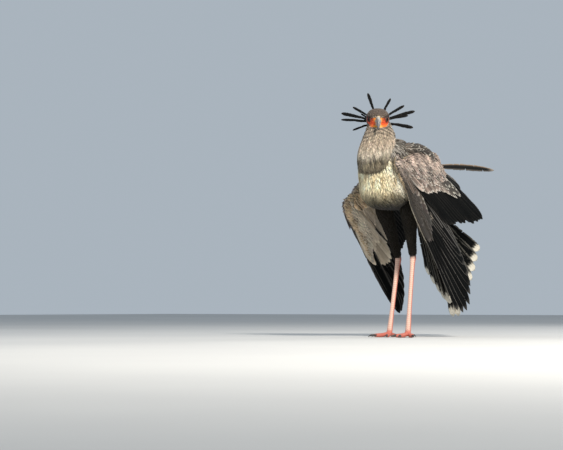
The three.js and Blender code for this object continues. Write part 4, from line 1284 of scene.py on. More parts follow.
class WingCoat:
    def __init__(s, w, chart):
        s.w, s.chart = w, chart
        s.tree = cad_tree(f"{w.name}_wing_forearm", f"{w.name}_wing_hand")

    def surface(s, P, face):
        """Points moved out to the outermost of the wing's own solids on one face,
        with how far each was moved (nan where nothing is met)."""
        d = s.w.out * face
        flat = P.reshape(-1, 3)
        move = np.full(len(flat), np.nan)
        for i, p in enumerate(flat):
            hit, _, _, dist = s.tree.ray_cast(Vector(p + d * 34), Vector(-d), 60)
            if hit is not None:
                move[i] = 34 - dist
        return move.reshape(P.shape[:-1])

    def over_body(s, body, toward, spacing, across, least, most, tone, sizes, high=3.8, allow=None, k=6):
        """Coverts all over a pad, between two shares of its chord."""
        t, ph = rows_on(body, spacing, across, 0.0, 1.0, jitter=0.45)
        c = (1 + np.cos(ph)) / 2
        n0 = body.normal(t, ph)
        face = np.where(n0 @ s.w.out > 0, 1.0, -1.0)
        keep = (c < most) & (c >= least)
        if allow is not None:
            keep &= allow(t, c, face)
        t, ph, c, face = t[keep], ph[keep], c[keep], face[keep]
        n = len(t)
        (l0, l1), (w0, w1) = sizes
        share = (c - least) / (most - least)
        length = lerp(l0, l1, share) * RNG.uniform(0.8, 1.2, n)
        D = np.broadcast_to(toward(t) if callable(toward) else toward, (n, 3)) + s.w.out * (face * 1.3 * (1 - step(0.02, 0.22, c)))[:, None]
        D = D + RNG.normal(0, 0.10, (n, 3))
        TT, PP = flow(body, t, ph, length, k, D)
        v = np.linspace(0, 1, k)[None]
        P = body.at(TT, PP)
        N = body.normal(np.clip(TT, 0.01, 0.99), PP)
        for f in (1, -1):
            who = np.where((face == f) & (c > 0.28))[0]
            if len(who):
                m = s.surface(P[who], f)
                m = np.where(np.isnan(m), 0, np.clip(m, 0, 16))
                m[:, 1:-1] = (m[:, :-2] + 2 * m[:, 1:-1] + m[:, 2:]) / 4
                P[who] = P[who] + (s.w.out * f) * m[..., None]
                N[who] = unit(lerp(N[who], s.w.out * f, np.clip(m / 5, 0, 0.8)[..., None]))
        sink = lerp(3.2, 0.6, step(0.08, 0.34, c))[:, None]
        over = high * step(0.08, 0.36, c[:, None] + 0.3 * v) * (0.75 + 0.25 * v)
        P = P + N * (over - sink * (1 - v) ** 1.3 + RNG.uniform(0.1, 1.4, (n, 1)) * v**0.7 + RNG.uniform(0, 1.6, (n, 1)) * v**2)[..., None]
        W = lerp(w0, w1, share)[:, None] * 0.5 * RNG.uniform(0.85, 1.1, (n, 1)) * rounded(v, 0.6, 0.5, 0.55, 1.7, 0.14)
        col, edge, rim = tone(P[:, 2], t, c, face, n)
        # each covert darkened towards its root: painted shade where it lies under the feathers before it
        ramp = np.linspace(0.6, 1.1, k)
        x0 = 0.02 + 0.245 * s.chart
        uv = np.stack([x0 + 0.225 * ((ph / (2 * np.pi)) % 1.0), 0.02 + 0.96 * np.clip(t, 0, 1)], -1)
        covert_coat.add(P, N, W, col[:, None] * ramp[None, :, None], np.clip(edge, 0, 1), rim, uv, nu=4, camber=0.22, tip_round=0.35, ragged=0.07, thin=0.2, ridge=0.06)

    def cap(s, body, end, tone, length, width):
        """A whorl of feathers over the blunt end of a pad, out from its middle and
        on over the side."""
        S_, PHs = [], []
        for share in (0.08, 0.3, 0.52, 0.74, 0.94):
            n = max(int(5 + 22 * share), 5)
            S_.append(np.full(n, share) + RNG.uniform(-0.05, 0.05, n))
            PHs.append((np.arange(n) + RNG.uniform(-0.3, 0.3, n)) / n * 2 * np.pi)
        share, ph = np.concatenate(S_), np.concatenate(PHs)
        n, k = len(share), 6
        t_end = float(end)
        rim = body.at(np.full(n, t_end), ph)
        mid = (body.at(t_end, 0.0) + body.at(t_end, np.pi)) / 2
        R = np.linalg.norm(rim - mid, axis=1)
        v = np.linspace(0, 1, k)[None]
        go = length * RNG.uniform(0.85, 1.15, n)[:, None] * v
        flat = np.minimum(share[:, None] * R[:, None] + go, R[:, None])
        on = np.maximum(share[:, None] * R[:, None] + go - R[:, None], 0)
        line = np.linalg.norm(body.axes(A([0.5]))[0] - body.axes(A([0.48]))[0]) / 0.02
        tt = t_end + (1 - 2 * t_end) * on / line
        side = body.at(tt, ph[:, None] + 0 * tt)
        ends = body.axes(A([t_end]))[0][0]
        inner = body.axes(A([0.06 if end == 0 else 0.94]))[0][0]
        away = unit(ends - inner)
        P = side + (mid - rim)[:, None] * (1 - flat / np.maximum(R[:, None], 1e-6))[..., None]
        w = np.clip(on / 6.0, 0, 1)[..., None]
        N = unit(lerp(np.broadcast_to(away, P.shape), unit(rim - mid)[:, None] + 0 * P, w * 0.9 + 0.1 * (flat / np.maximum(R[:, None], 1e-6))[..., None] ** 4))
        dome = (3.5 * (1 - (flat / np.maximum(R[:, None], 1e-6)) ** 2))[..., None]
        P = P + away * dome + N * (-2.0 * (1 - v) ** 1.3 + 1.2 * v**0.7)[..., None]
        face = np.where((rim - mid) @ s.w.out > 0, 1.0, -1.0)
        col, edge, rimw = tone(P[:, 2], np.full(n, t_end), np.full(n, 0.1), face, n)
        W = width * 0.5 * rounded(v, 0.6, 0.5, 0.6, 1.8, 0.16) * np.ones((n, 1))
        x0 = 0.02 + 0.245 * s.chart
        uv = np.stack([x0 + 0.225 * ((ph / (2 * np.pi)) % 1.0), np.clip((0.012 if end == 0 else 0.988) + 0 * share, 0, 1)], -1)
        # each covert darkened towards its root: painted shade where it lies under the feathers before it
        covert_coat.add(P, N, W, col[:, None] * np.linspace(0.72, 1.08, k)[None, :, None], np.clip(edge, 0, 1), rimw, uv, nu=4, camber=0.24, tip_round=0.35, ragged=0.08, thin=0.2, ridge=0.07)

    def over_fan(s, kind, face, t, v0, v1, half, k=10, sink=1.2, lift=1.6, tone=None, fold=0.0, narrow=0.34):
        """Long coverts, each on its own flight feather's line."""
        w = s.w
        t = A(t)
        n = len(t)
        v0, v1, half = (np.broadcast_to(A(q), (n,)) for q in (v0, v1, half))
        v = np.linspace(0, 1, k)[None] ** 0.75
        vv = v0[:, None] + (v1 - v0)[:, None] * v
        P = w.fan(kind, np.clip(t, 0, 1)[:, None] + 0 * vv, vv)
        if fold:
            P = P + unit(w.fan(kind, A([1.0]), A([0.3])) - w.fan(kind, A([0.0]), A([0.3])))[0] * (fold * v**2)[..., None]
        m = s.surface(P, face)
        for i in range(n):
            ok = ~np.isnan(m[i])
            m[i] = np.interp(np.arange(k), np.arange(k)[ok], m[i][ok]) if ok.any() else 2.0
        for _ in range(2):
            m[:, 1:-1] = (m[:, :-2] + 2 * m[:, 1:-1] + m[:, 2:]) / 4
        m = np.maximum(m, 1.2)
        d = w.out * face
        P = P + d * (m - sink * (1 - v) ** 1.5 + lift * v**0.4 + RNG.uniform(0, 0.7, (n, 1)) * v**2)[..., None]
        e = 2e-2
        du = w.fan(kind, np.minimum(t + e, 1)[:, None] + 0 * vv, vv) - w.fan(kind, np.maximum(t - e, 0)[:, None] + 0 * vv, vv)
        T = unit(np.gradient(P, axis=1))
        N = unit(np.cross(du, T))
        N = N * np.where((N @ d) < 0, -1.0, 1.0)[..., None]
        W = half[:, None] * rounded(v, 0.55, 0.5, 1 - narrow, 2.0, 0.14)
        col, edge, rim = tone(P[:, 2], t, np.full(n, 0.9), np.full(n, face), n)
        # each covert darkened towards its root: painted shade where it lies under the feathers before it
        ramp = np.linspace(0.62, 1.08, k)
        x0 = 0.02 + 0.245 * s.chart
        uv = np.stack([x0 + 0.225 * (0.5 + 0.4 * t * face), 0.02 + 0.96 * np.clip(0.3 + 0.5 * (v0 + (0.3 if kind == "sec" else 0)), 0, 1)], -1)
        covert_coat.add(P, N, W, col[:, None] * ramp[None, :, None], np.clip(edge, 0, 1), rim, uv, nu=4, camber=0.14, tip_round=0.25, ragged=0.04, thin=0.3, ridge=0.05)


def arm_tone(w):
    def f(at, t, c, face, n):
        spot = 0.5 + 0.5 * noise_of(np.stack([t * 225, c * 60, face * 9], -1), 11.0, 1.0)
        r = np.clip(0.5 * RNG.uniform(0, 1, n) + 0.9 * (spot - 0.25) + 0.15 * (0.4 - c), 0, 1)[:, None]
        top = lerp(COVERT_DARK * 0.4, COVERT_LIGHT * 1.45, r**1.5)
        low = lerp(UNDER * 0.16, UNDER * 1.6, np.clip(r * 1.3 - 0.2, 0, 1))
        up = (face > 0)[:, None]
        col = vary(np.where(up, top, low), 0.08, n)
        edge = vary(np.where(up, lerp(COVERT_LIGHT * 1.4, COVERT_PALE * 1.25, step(0.1, 0.4, c)[:, None]), UNDER_PALE * 1.4), 0.06, n)
        rim = np.where(face > 0, lerp(0.6, 1.0, step(0.1, 0.4, c)), 0.75)
        return col, edge, rim
    return f


def hand_tone(w):
    def f(at, t, c, face, n):
        spot = 0.5 + 0.5 * noise_of(np.stack([t * 190, c * 60, face * 9], -1), 12.0, 3.0)
        r = np.clip(0.35 * RNG.uniform(0, 1, n) + 1.0 * (spot - 0.2), 0, 1)[:, None]
        far = step(0.10, 0.42, t + 0.2 * (c - 0.3))[:, None]
        top = lerp(lerp(COVERT_DARK * 0.6, COVERT_LIGHT, r**1.3), PRIMARY_COVERT * 0.7, far)
        low = lerp(UNDER * 0.16, UNDER * 1.6, r)
        low = lerp(low, lerp(UNDER_GREY * 0.6, UNDER_GREY * 1.35, r), step(0.22, 0.45, c + 0.08 * np.sin(t * 25))[:, None])
        up = (face > 0)[:, None]
        col = vary(np.where(up, top, low), 0.08, n)
        white = (step(0.6, 0.8, t) * (face < 0))[:, None]
        edge = vary(np.where(up, lerp(COVERT_PALE, COVERT * 0.35, far), lerp(UNDER_PALE * 1.35, WHITE, white)), 0.06, n)
        return col, edge, np.where(face > 0, 0.85, 0.8)
    return f


def even(n, jitter=0.12):
    return np.clip((np.arange(n) + 0.5 + RNG.uniform(-jitter, jitter, n)) / n, 0, 1)


def coat_wing(w, chart):
    wc = WingCoat(w, chart)
    left = w.name == "left"
    sec_dir = w.fall

    def hand_dir(t):
        a = unit(w.pri_tips[0] - w.pri_roots[0])
        b = unit(w.pri_tips[-1] - w.pri_roots[-1])
        return unit(lerp(a, b, step(0.0, 0.8, t)[:, None]))

    # hand first, then the arm over it; on each the long ones lie under the short
    def pri_top(at, t, c, face, n):
        far = step(0.05, 0.45, t)[:, None]
        return vary(lerp(COVERT_DARK * 0.6, PRIMARY_COVERT * 0.4, far), 0.15, n), vary(lerp(COVERT_PALE, COVERT * 0.33, far), 0.10, n), np.full(n, 0.85)

    def low_tone(at, t, c, face, n):
        r = np.clip(0.55 * RNG.uniform(0, 1, (n, 1)) + 0.6 * (0.5 + 0.5 * np.sin(t * 19 + 2 * np.sin(t * 7))[:, None]) - 0.1, 0, 1)
        return vary(lerp(UNDER * 0.75, UNDER * 1.5, r), 0.06, n), vary(lerp(UNDER_PALE * 1.5, UNDER * 0.4, step(0.45, 0.55, r)), 0.06, n), np.full(n, 0.7)

    def sec_low(at, t, c, face, n):
        col, edge, rim = low_tone(at, t, c, face, n)
        pale = lerp(A([0.50, 0.46, 0.39]), A([0.30, 0.275, 0.23]), 0.5 + 0.5 * np.sin(t * 23)[:, None])
        col = lerp(col, pale, 0.65)
        if left:
            col = lerp(col, PRIMARY_COVERT, (1 - step(0.10, 0.24, t))[:, None])
            edge = lerp(edge, PRIMARY_COVERT * 1.5, (1 - step(0.10, 0.24, t))[:, None])
        return col, edge, rim

    def pri_low(at, t, c, face, n):
        col, edge, rim = low_tone(at, t, c, face, n)
        col = lerp(col, lerp(UNDER_GREY * 0.7, UNDER_GREY * 1.4, RNG.uniform(0, 1, (n, 1))), 0.75)
        edge = lerp(edge, UNDER_GREY * 1.9, 0.5)
        if left:
            col = lerp(col, PRIMARY_COVERT, (1 - step(0.34, 0.46, t))[:, None])
            edge = lerp(edge, PRIMARY_COVERT * 1.5, (1 - step(0.34, 0.46, t))[:, None])
        return col, edge, rim

    def sec_top(at, t, c, face, n):
        near = step(0.58, 0.8, t)[:, None]
        return (vary(lerp(lerp(COVERT_DARK * 0.8, COVERT_LIGHT * 0.8, RNG.uniform(0, 1, (n, 1)) ** 1.5), SCAPULAR, near), 0.10, n),
                vary(lerp(COVERT_PALE * 1.1, WHITE, near), 0.05, n), np.full(n, 1.0))

    some = lambda a, b, m: a + (b - a) * even(m)
    wc.over_fan("pri", 1, even(11), 0.0, RNG.uniform(0.30, 0.36, 11), 12, k=10, tone=pri_top, lift=1.2)
    wc.over_fan("pri", 1, even(12), -0.04, RNG.uniform(0.18, 0.23, 12), 11.5, lift=2.2, tone=pri_top)
    ts = even(12)
    wc.over_fan("pri", -1, ts, 0.12, np.interp(ts, [0, 0.25, 0.5, 1], [0.28, 0.44, 0.46, 0.37] if left else [0.80, 0.68, 0.55, 0.37]) + RNG.uniform(-0.03, 0.03, 12), 17, k=12, tone=pri_low, lift=(1.0 + 2.2 * (1 - step(0.1, 0.35, ts)))[:, None])
    ts = even(13)
    wc.over_fan("pri", -1, ts, 0.0, np.interp(ts, [0, 0.5, 1], [0.24 if left else 0.56, 0.40, 0.29]) + RNG.uniform(-0.03, 0.03, 13), 14.5, k=11, tone=pri_low, lift=(2.0 + 2.2 * (1 - step(0.1, 0.35, ts)))[:, None])
    ts = even(14)
    wc.over_fan("pri", -1, ts, -0.03, RNG.uniform(0.22, 0.30, 14), 12.5, lift=(2.9 + 2.2 * (1 - step(0.1, 0.35, ts)))[:, None], tone=pri_low)
    ts = even(17)
    wc.over_fan("sec", 1, ts, 0.03, RNG.uniform(0.38, 0.455, 17), 12.5, k=11, tone=sec_top, narrow=0.36, lift=1.2)
    wc.over_fan("sec", 1, even(20), 0.01, RNG.uniform(0.28, 0.35, 20), 11, k=9, lift=2.3, tone=sec_top, narrow=0.36)
    wc.over_fan("sec", 1, some(0.66, 1.0, 9), 0.10, RNG.uniform(0.45, 0.56, 9), 9.5, k=10, lift=3.2, tone=sec_top, narrow=0.45)
    wc.over_fan("sec", 1, some(0.55, 1.0, 11), 0.04, RNG.uniform(0.30, 0.42, 11), 9, k=10, lift=4.2, tone=sec_top, narrow=0.45)
    ts = even(17)
    wc.over_fan("sec", -1, ts, 0.05, np.interp(ts, [0, 0.2, 0.5, 0.7, 1], [0.28, 0.40, 0.42, 0.38, 0.38] if left else [0.80, 0.64, 0.44, 0.38, 0.38]) + RNG.uniform(-0.02, 0.02, 17), 15.5, k=12, tone=sec_low, lift=(1.0 + 2.6 * (1 - step(0.1, 0.4, ts)))[:, None])
    ts = even(18)
    wc.over_fan("sec", -1, ts, 0.0, np.interp(ts, [0, 0.3, 0.6, 1], [0.24 if left else 0.5, 0.36, 0.27, 0.26]) + RNG.uniform(-0.02, 0.02, 18), 13, lift=(2.2 + 2.6 * (1 - step(0.1, 0.4, ts)))[:, None], tone=sec_low)
    hand, arm = hand_tone(w), arm_tone(w)
    upper = lambda t, c, face: (face < 0) | (c < lerp(0.8, 0.26, step(0.12, 0.42, t)))
    wc.over_body(w.hand, hand_dir, 6.2, 6.0, 0.0, 0.4, hand, ((13, 27), (6.6, 10.5)), high=3.6)
    wc.over_body(w.hand, hand_dir, 10.0, 7.6, 0.3, 0.82, hand, ((30, 48), (9.5, 13.5)), high=3.8, allow=upper, k=7)
    wc.cap(w.hand, 0, hand, 14, 8.5)
    wc.over_body(w.arm, sec_dir, 6.2, 6.0, 0.0, 0.32, arm, ((13, 27), (6.6, 10.5)))
    wc.over_body(w.arm, sec_dir, 10.5, 7.6, 0.24, 0.64, arm, ((32, 56), (9.5, 14.5)), high=4.6, k=7)
    wc.cap(w.arm, 0, arm, 15, 9)
    wc.cap(w.arm, 1, arm, 26, 12)


for i, w in enumerate(wings.values()):
    coat_wing(w, 2 * i)
covert_coat.finish()

# scapulars and the feathers over the upper arm
scapular_coat = Coat("scapular_feathers", MAT["covert"], "wing_coverts")


def coat_upper():
    for i, (name, w) in enumerate(wings.items()):
        body = w.upper_pad
        t, ph = rows_on(body, 9.5, 8.5, 0.0, 0.99, jitter=0.45)
        at = body.at(t, ph)
        keep = ~hidden(at, "trunk", "neck", f"{name}_arm", by=7.0)
        t, ph, at = t[keep], ph[keep], at[keep]
        n = len(t)
        length = lerp(24, 78, step(0.0, 0.7, t)) * RNG.uniform(0.85, 1.12, n)
        P, N = lay(body, t, ph, length, 8, RNG.normal(0, 0.10, n), depth=5.0, lift=RNG.uniform(-0.5, 1.5, n), ruffle=RNG.uniform(0, 2.0, n))
        W = lerp(5.5, 9.5, step(0.0, 0.7, t))[:, None] * blade(np.linspace(0, 1, 8), 0.6, 0.5, 0.36)[None]
        dark = 0.7 + 0.3 * step(0.0, 0.2, t)
        r = RNG.uniform(0, 1, (n, 1))
        col = vary(lerp(lerp(COVERT_DARK, COVERT_LIGHT, r), lerp(SCAPULAR * 0.5, SCAPULAR * 1.7, r**1.5), dark[:, None]), 0.08, n)
        dull = RNG.uniform(0, 1, (n, 1)) < 0.5
        edge = vary(np.where(dull, COVERT * 0.45, lerp(COVERT_PALE, WHITE, dark[:, None])), 0.05, n)
        # each feather darkened towards its root: painted shade where it lies under the feathers before it
        ramp = np.linspace(0.62, 1.05, 8)
        x0 = 0.02 + 0.49 * i
        scapular_coat.add(P, N, W, col[:, None] * ramp[None, :, None], edge, np.where(RNG.uniform(0, 1, n) < 0.8, 1.0, 0.5), charted(t, ph, (x0, 0.02, x0 + 0.46, 0.98)), nu=4, camber=0.25, ragged=0.06, thin=0.3, ridge=0.07)


coat_upper()
scapular_coat.finish()


# --------------------------------------------------------- the large feathers
COLS = A([-1, -0.78, -0.55, -0.3, -0.07, 0, 0.07, 0.3, 0.55, 0.78, 1])


class Quills:
    """Large feathers with a shaft, closed all round, each in its own part of the map."""

    def __init__(s, name, material, slot, grid=8):
        s.name, s.material, s.slot, s.grid = name, material, slot, grid
        s.V, s.Q, s.T3, s.C, s.E, s.R, s.U, s.B, s.K = ([] for _ in range(9))
        s.base = s.count = 0

    def add(s, line, normal, lead, trail, profile, paint, rows=26, thick=0.7, shaft=1.6, camber=0.10, tilt=0.0, slant=0.45, splits=2, split_depth=0.5, ragged=0.02, rim=0.2, edge=COVERT_PALE, flat_to=0.0):
        at = RNG.uniform(0.3, 0.94, splits)
        deep = RNG.uniform(0.4, 1.0, splits) * split_depth
        whose = RNG.choice([-1, 1], splits)
        eps = 0.008
        v = np.sort(np.concatenate([np.linspace(0, 0.8, rows - 9, endpoint=False), np.linspace(0.8, 1, 9)] + [[a - eps, a, a + eps] for a in at]))
        v = np.clip(v, 0, 1)
        k, m = len(v), len(COLS)
        P, N = line(v), normal(v)
        h = 1e-3
        T = unit(line(np.minimum(v + h, 1)) - line(np.maximum(v - h, 0)))
        B = unit(np.cross(T, N))
        N = np.cross(B, T)
        L = np.linalg.norm(np.diff(P, axis=0), axis=1).sum()
        prof = profile(v)
        cut = np.zeros((k, m))
        for a, dp, sd in zip(at, deep, whose):
            here = np.maximum(0, 1 - np.abs(v - a) / eps)
            cut = np.maximum(cut, here[:, None] * dp * (COLS * sd > 0)[None])
        reach = np.where(COLS > 0, lead, trail)
        uu = np.minimum(np.abs(COLS)[None], 1 - cut)
        width = prof[:, None] * reach[None]
        rough = 1 + ragged * RNG.normal(0, 1, (k, m)) * (np.abs(COLS) > 0.9)[None]
        side = np.sign(COLS)[None] * uu * width * rough
        sr = shaft * (1 - 0.82 * v) / 2
        inner = np.abs(COLS) < 0.1
        side = np.where(inner[None], np.sign(COLS)[None] * sr[:, None], side)
        lean = slant * np.abs(side) * (np.minimum(v / 0.12, 1) * np.sqrt(np.maximum(1 - v, 0)))[:, None]
        z = (-camber * side**2 / max(lead, trail) + tilt * side) * (0.15 + 0.85 * step(flat_to - 0.25, flat_to + 0.2, v))[:, None]
        half = thick * 0.5 * (1 - 0.55 * np.abs(COLS))[None] * np.ones((k, 1)) * (1 - 0.5 * v)[:, None]
        top = np.where(COLS[None] == 0, sr[:, None] * 1.1, half)
        low = np.where(COLS[None] == 0, -sr[:, None] * 0.8, -half)
        mid = P[:, None] + B[:, None] * side[..., None] + T[:, None] * lean[..., None]
        X = np.concatenate([(mid + N[:, None] * (z + top)[..., None]).reshape(-1, 3), (mid + N[:, None] * (z + low)[..., None]).reshape(-1, 3)])
        idx = np.arange(k * m).reshape(k, m)
        lo = idx + k * m
        q = [np.stack([idx[:-1, :-1], idx[:-1, 1:], idx[1:, 1:], idx[1:, :-1]], -1).reshape(-1, 4),
             np.stack([lo[:-1, :-1], lo[1:, :-1], lo[1:, 1:], lo[:-1, 1:]], -1).reshape(-1, 4),
             np.stack([idx[:-1, -1], lo[:-1, -1], lo[1:, -1], idx[1:, -1]], -1),
             np.stack([idx[:-1, 0], idx[1:, 0], lo[1:, 0], lo[:-1, 0]], -1),
             np.stack([idx[0, :-1], lo[0, :-1], lo[0, 1:], idx[0, 1:]], -1),
             np.stack([idx[-1, :-1], idx[-1, 1:], lo[-1, 1:], lo[-1, :-1]], -1)]
        s.Q.append(np.vstack(q) + s.base)
        s.V.append(X)
        vv, uu2 = np.broadcast_to(v[:, None], (k, m)), np.broadcast_to(COLS[None], (k, m))
        c = paint(vv.ravel(), uu2.ravel(), side.ravel())
        s.C.append(np.vstack([c, c]))
        s.E.append(np.tile(A(edge), (2 * k * m, 1)))
        s.R.append(np.full(2 * k * m, rim))
        uv = np.stack([(uu2.ravel() + 1) / 2, vv.ravel()], -1)
        s.U.append(np.vstack([uv, uv]))
        b = np.stack([side.ravel(), vv.ravel() * L], -1)
        s.B.append(np.vstack([b, b]))
        cell = 1.0 / s.grid
        cx, cy = (s.count % s.grid) * cell, (s.count // s.grid) * cell
        one = np.stack([cx + cell * (0.03 + 0.44 * uv[:, 0]), cy + cell * (0.03 + 0.94 * uv[:, 1])], -1)
        s.K.append(np.vstack([one, one + A([cell * 0.5, 0])]))
        s.base += len(X)
        s.count += 1
        if s.count >= s.grid**2:
            raise ValueError(f"{s.name}: more feathers than its map holds")

    def finish(s):
        ob = make_mesh(s.name, to_row(np.vstack(s.V)), [np.vstack(s.Q)], {"Col": np.clip(np.vstack(s.C), 0, 1), "Edge": np.vstack(s.E)},
                       {"OFBake": np.vstack(s.K), "vane": np.vstack(s.U), "barb": np.vstack(s.B)}, {"Rim": np.concatenate(s.R)}, s.material)
        return own(ob, s.slot)


def outline(base, full, tip_from, tip_power=2.2, least=0.06):
    """Width along a feather: grows to full, holds, and rounds off to the tip."""
    def f(v):
        rise = base + (1 - base) * np.sin(np.clip(v / full, 0, 1) * np.pi / 2)
        fall = np.clip(1 - np.clip((v - tip_from) / (1 - tip_from), 0, 1) ** tip_power, 0, 1) ** 0.5
        return np.maximum(rise * fall, least)
    return f


flight = Quills("flight_feathers", MAT["flight"], "black_plumage", grid=9)


def flight_paint(tone, tip=None, tip_at=0.96, base_pale=0.0, fringe=0.03):
    def f(v, u, side):
        c = np.tile(A(tone), (len(v), 1))
        c = c * (1 + 0.5 * base_pale * (1 - step(0.1, 0.5, v)))[:, None]
        # the vane edges and tip lightened by fringe: a painted highlight where the edges catch the light
        line = np.maximum(step(0.80, 0.99, np.abs(u)) * step(0.15, 0.4, v), 0.5 * step(0.95, 1.0, v))
        c = lerp(c, A([1.0, 0.95, 0.88]) * fringe, line[:, None])
        if tip is not None:
            c = lerp(c, A(tip), (step(tip_at - 0.03, tip_at + 0.01, v + 0.012 * np.sin(side)))[:, None])
        return c
    return f


def fan_feather(w, kind, t, reach, lead, trail, level, **kw):
    """One flight feather on the wing's sheet, its leading vane over the next."""
    out_sign = 1.0 if kind == "pri" else -1.0  # which way in t the leading edge lies
    L = w.fan(kind, t, 1.0) - w.fan(kind, t, 0.0)
    e = 1e-2

    def line(v):
        p = w.fan(kind, np.full(len(v), t), v * reach)
        return p + normal(v) * level

    def normal(v):
        s = v * reach
        du = w.fan(kind, np.full(len(v), min(t + e, 1)), s) - w.fan(kind, np.full(len(v), max(t - e, 0)), s)
        dv = w.fan(kind, np.full(len(v), t), s + e) - w.fan(kind, np.full(len(v), t), s - e)
        n = unit(np.cross(du, dv))
        return n * np.where(n @ w.out < 0, -1.0, 1.0)[:, None]

    v0 = A([0.5])
    T = unit(w.fan(kind, A([t]), v0 + e) - w.fan(kind, A([t]), v0 - e))[0]
    B = np.cross(T, normal(v0)[0])
    du = w.fan(kind, min(t + e, 1), 0.6) - w.fan(kind, max(t - e, 0), 0.6)
    plus_is_lead = (B @ du) * out_sign > 0
    a, b, tl = (lead, trail, 1) if plus_is_lead else (trail, lead, -1)
    flight.add(line, normal, a, b, tilt=tl * 0.05, flat_to=0.9 if t < 0.3 else 0.62, **kw)


def build_flights():
    for name, w in wings.items():
        n = 10
        for i in range(n):
            t = (i + 0.5) / n
            tone = BLACK * RNG.uniform(0.85, 1.3)
            fan_feather(w, "pri", t, RNG.uniform(0.965, 0.995) - 0.02 * t, 15 + 3 * (1 - t), 30, 0.15 * (n - i) * 0, profile=outline(0.45, 0.3, 0.80, 2.0), paint=flight_paint(tone, base_pale=0.3, fringe=RNG.uniform(0.06, 0.16)), rows=30, thick=0.8, shaft=2.6, camber=0.07, splits=3, split_depth=0.55, rim=0.0, edge=COVERT * 0.6)
        n = 14
        for i in range(n):
            t = (i + 0.5) / n
            tone = BLACK * RNG.uniform(0.85, 1.4)
            fan_feather(w, "sec", t, RNG.uniform(0.945, 0.998), 16, 25, 0.0, profile=outline(0.5, 0.25, 0.78, 1.9), paint=flight_paint(tone, base_pale=0.8), rows=26, thick=0.7, shaft=2.2, camber=0.07, splits=2, split_depth=0.45, rim=0.0, edge=COVERT * 0.8)


build_flights()


def straight(a, b, bow=(0, 0, 0)):
    a, b, bow = A(a), A(b), A(bow)
    return lambda v: a + (b - a) * v[:, None] + bow * (4 * v * (1 - v))[:, None]


constant = lambda n: (lambda v: np.tile(unit(A(n)), (len(v), 1)))


def build_alulas():
    for name, w in wings.items():
        up = 1.0 if (w.hand.at(0.5, np.pi / 2) - w.hand.at(0.5, -np.pi / 2)) @ w.out > 0 else -1.0
        for i in range(3):
            c0 = 0.22 + 0.13 * i
            t0, ph0 = A([0.30 + 0.03 * i]), A([up * math.acos(2 * c0 - 1)])
            toward = unit(w.edge[3] - w.edge[1]) + w.out * 0.0
            TT, PP = flow(w.hand, t0, ph0, 86 - 12 * i, 7, toward)
            N = w.hand.normal(np.clip(TT, 0.01, 0.99), PP)[0]
            P = w.hand.at(TT, PP)[0] + N * lerp(3.0, 9.0 - 0.8 * i, np.linspace(0, 1, 7))[:, None]
            tone = lerp(COVERT_DARK * 0.8, COVERT_DARK * 0.35, i / 2.0)
            flight.add(lambda v, P=P: catmull(P, v), lambda v, N=N: unit(catmull(N, v)), 5.0, 7.0, outline(0.5, 0.35, 0.72), flight_paint(tone, fringe=0.45), rows=18, thick=0.7, shaft=1.5, splits=1, rim=0.0)


build_alulas()


def build_blown():
    """The long inner feather of the left wing lifted clear, and a shorter one."""
    def paint(v, u, side):
        c = np.tile(BLACK * 1.6 + 0.006, (len(v), 1))
        # the upper vane painted paler brown: a painted highlight where the light falls on the top of the feather
        top = step(0.25, 0.75, -u)
        c = lerp(c, A([0.17, 0.12, 0.08]), (top * 0.8)[:, None])
        return lerp(c, A([0.30, 0.25, 0.2]), (step(0.9, 1.0, v) * 0.4)[:, None])
    flight.add(straight([104, 44, 664], [158, 434, 671], [2, 0, 7]), constant([0.8, -0.1, 0.1]), 15, 10, outline(0.5, 0.4, 0.62, 1.5), paint, rows=34, thick=0.8, shaft=2.4, splits=6, split_depth=0.75, ragged=0.06, camber=0.14, rim=0.3)
    flight.add(straight([105, 44, 652], [122, 198, 600], [4, 0, 3]), constant([0.9, -0.1, 0.2]), 15, 14, outline(0.6, 0.45, 0.7), flight_paint(BLACK * 1.3), rows=24, thick=0.8, shaft=2.0, splits=4, split_depth=0.6, ragged=0.05, camber=0.14, rim=0.4)
    for j, (a, b) in enumerate([([108, 40, 640], [128, 186, 560]), ([106, 46, 646], [126, 214, 585])]):
        flight.add(straight(a, b, [5, 0, 2]), constant([0.92, -0.1, 0.15]), 14, 15, outline(0.6, 0.4, 0.75), flight_paint(BLACK * 1.6 + 0.003, base_pale=0.5, fringe=0.2), rows=22, thick=0.7, shaft=2.0, splits=2, split_depth=0.5, camber=0.14, rim=0.0)


build_blown()
flight.finish()

# ----------------------------------------------------------------- the tail
tail_q = Quills("tail_feathers", MAT["flight"], "grey_plumage", grid=5)


def tail_paint(v, u, side, white=0.915, band=(0.60, 0.66)):
    wave = 0.010 * np.sin(side * 0.55) + 0.008 * np.sin(side * 1.7 + 1.0) + 0.02 * np.abs(u)
    c = np.tile(TAIL_GREY * 0.8, (len(v), 1))
    mott = 0.5 + 0.5 * np.sin(v * 34 + side * 0.3)
    c = c * (0.75 + 0.35 * mott)[:, None]
    c = lerp(c, BLACK * 1.2, step(band[0] - 0.05, band[0] + 0.02, v + wave)[:, None])
    return lerp(c, WHITE, step(white - 0.015, white + 0.012, v - wave)[:, None])


TAIL_ROOTS = A([[-22, 110, 516], [0, 112, 520], [22, 110, 516]])
TAIL_OUT = unit(A([0, 0.8, 0.6]))


def tail_fan(t, v):
    """A point of the sheet of the tail: t across, v along a feather."""
    t, v = np.broadcast_arrays(A(t), A(v))
    a, b = catmull(TAIL_ROOTS, t.ravel()), catmull(TAIL_TIPS, t.ravel())
    q = v.ravel()[:, None]
    return (a + (b - a) * q + TAIL_OUT * 6 * 4 * q * (1 - 0.72 * q) * 0.8).reshape(t.shape + (3,))


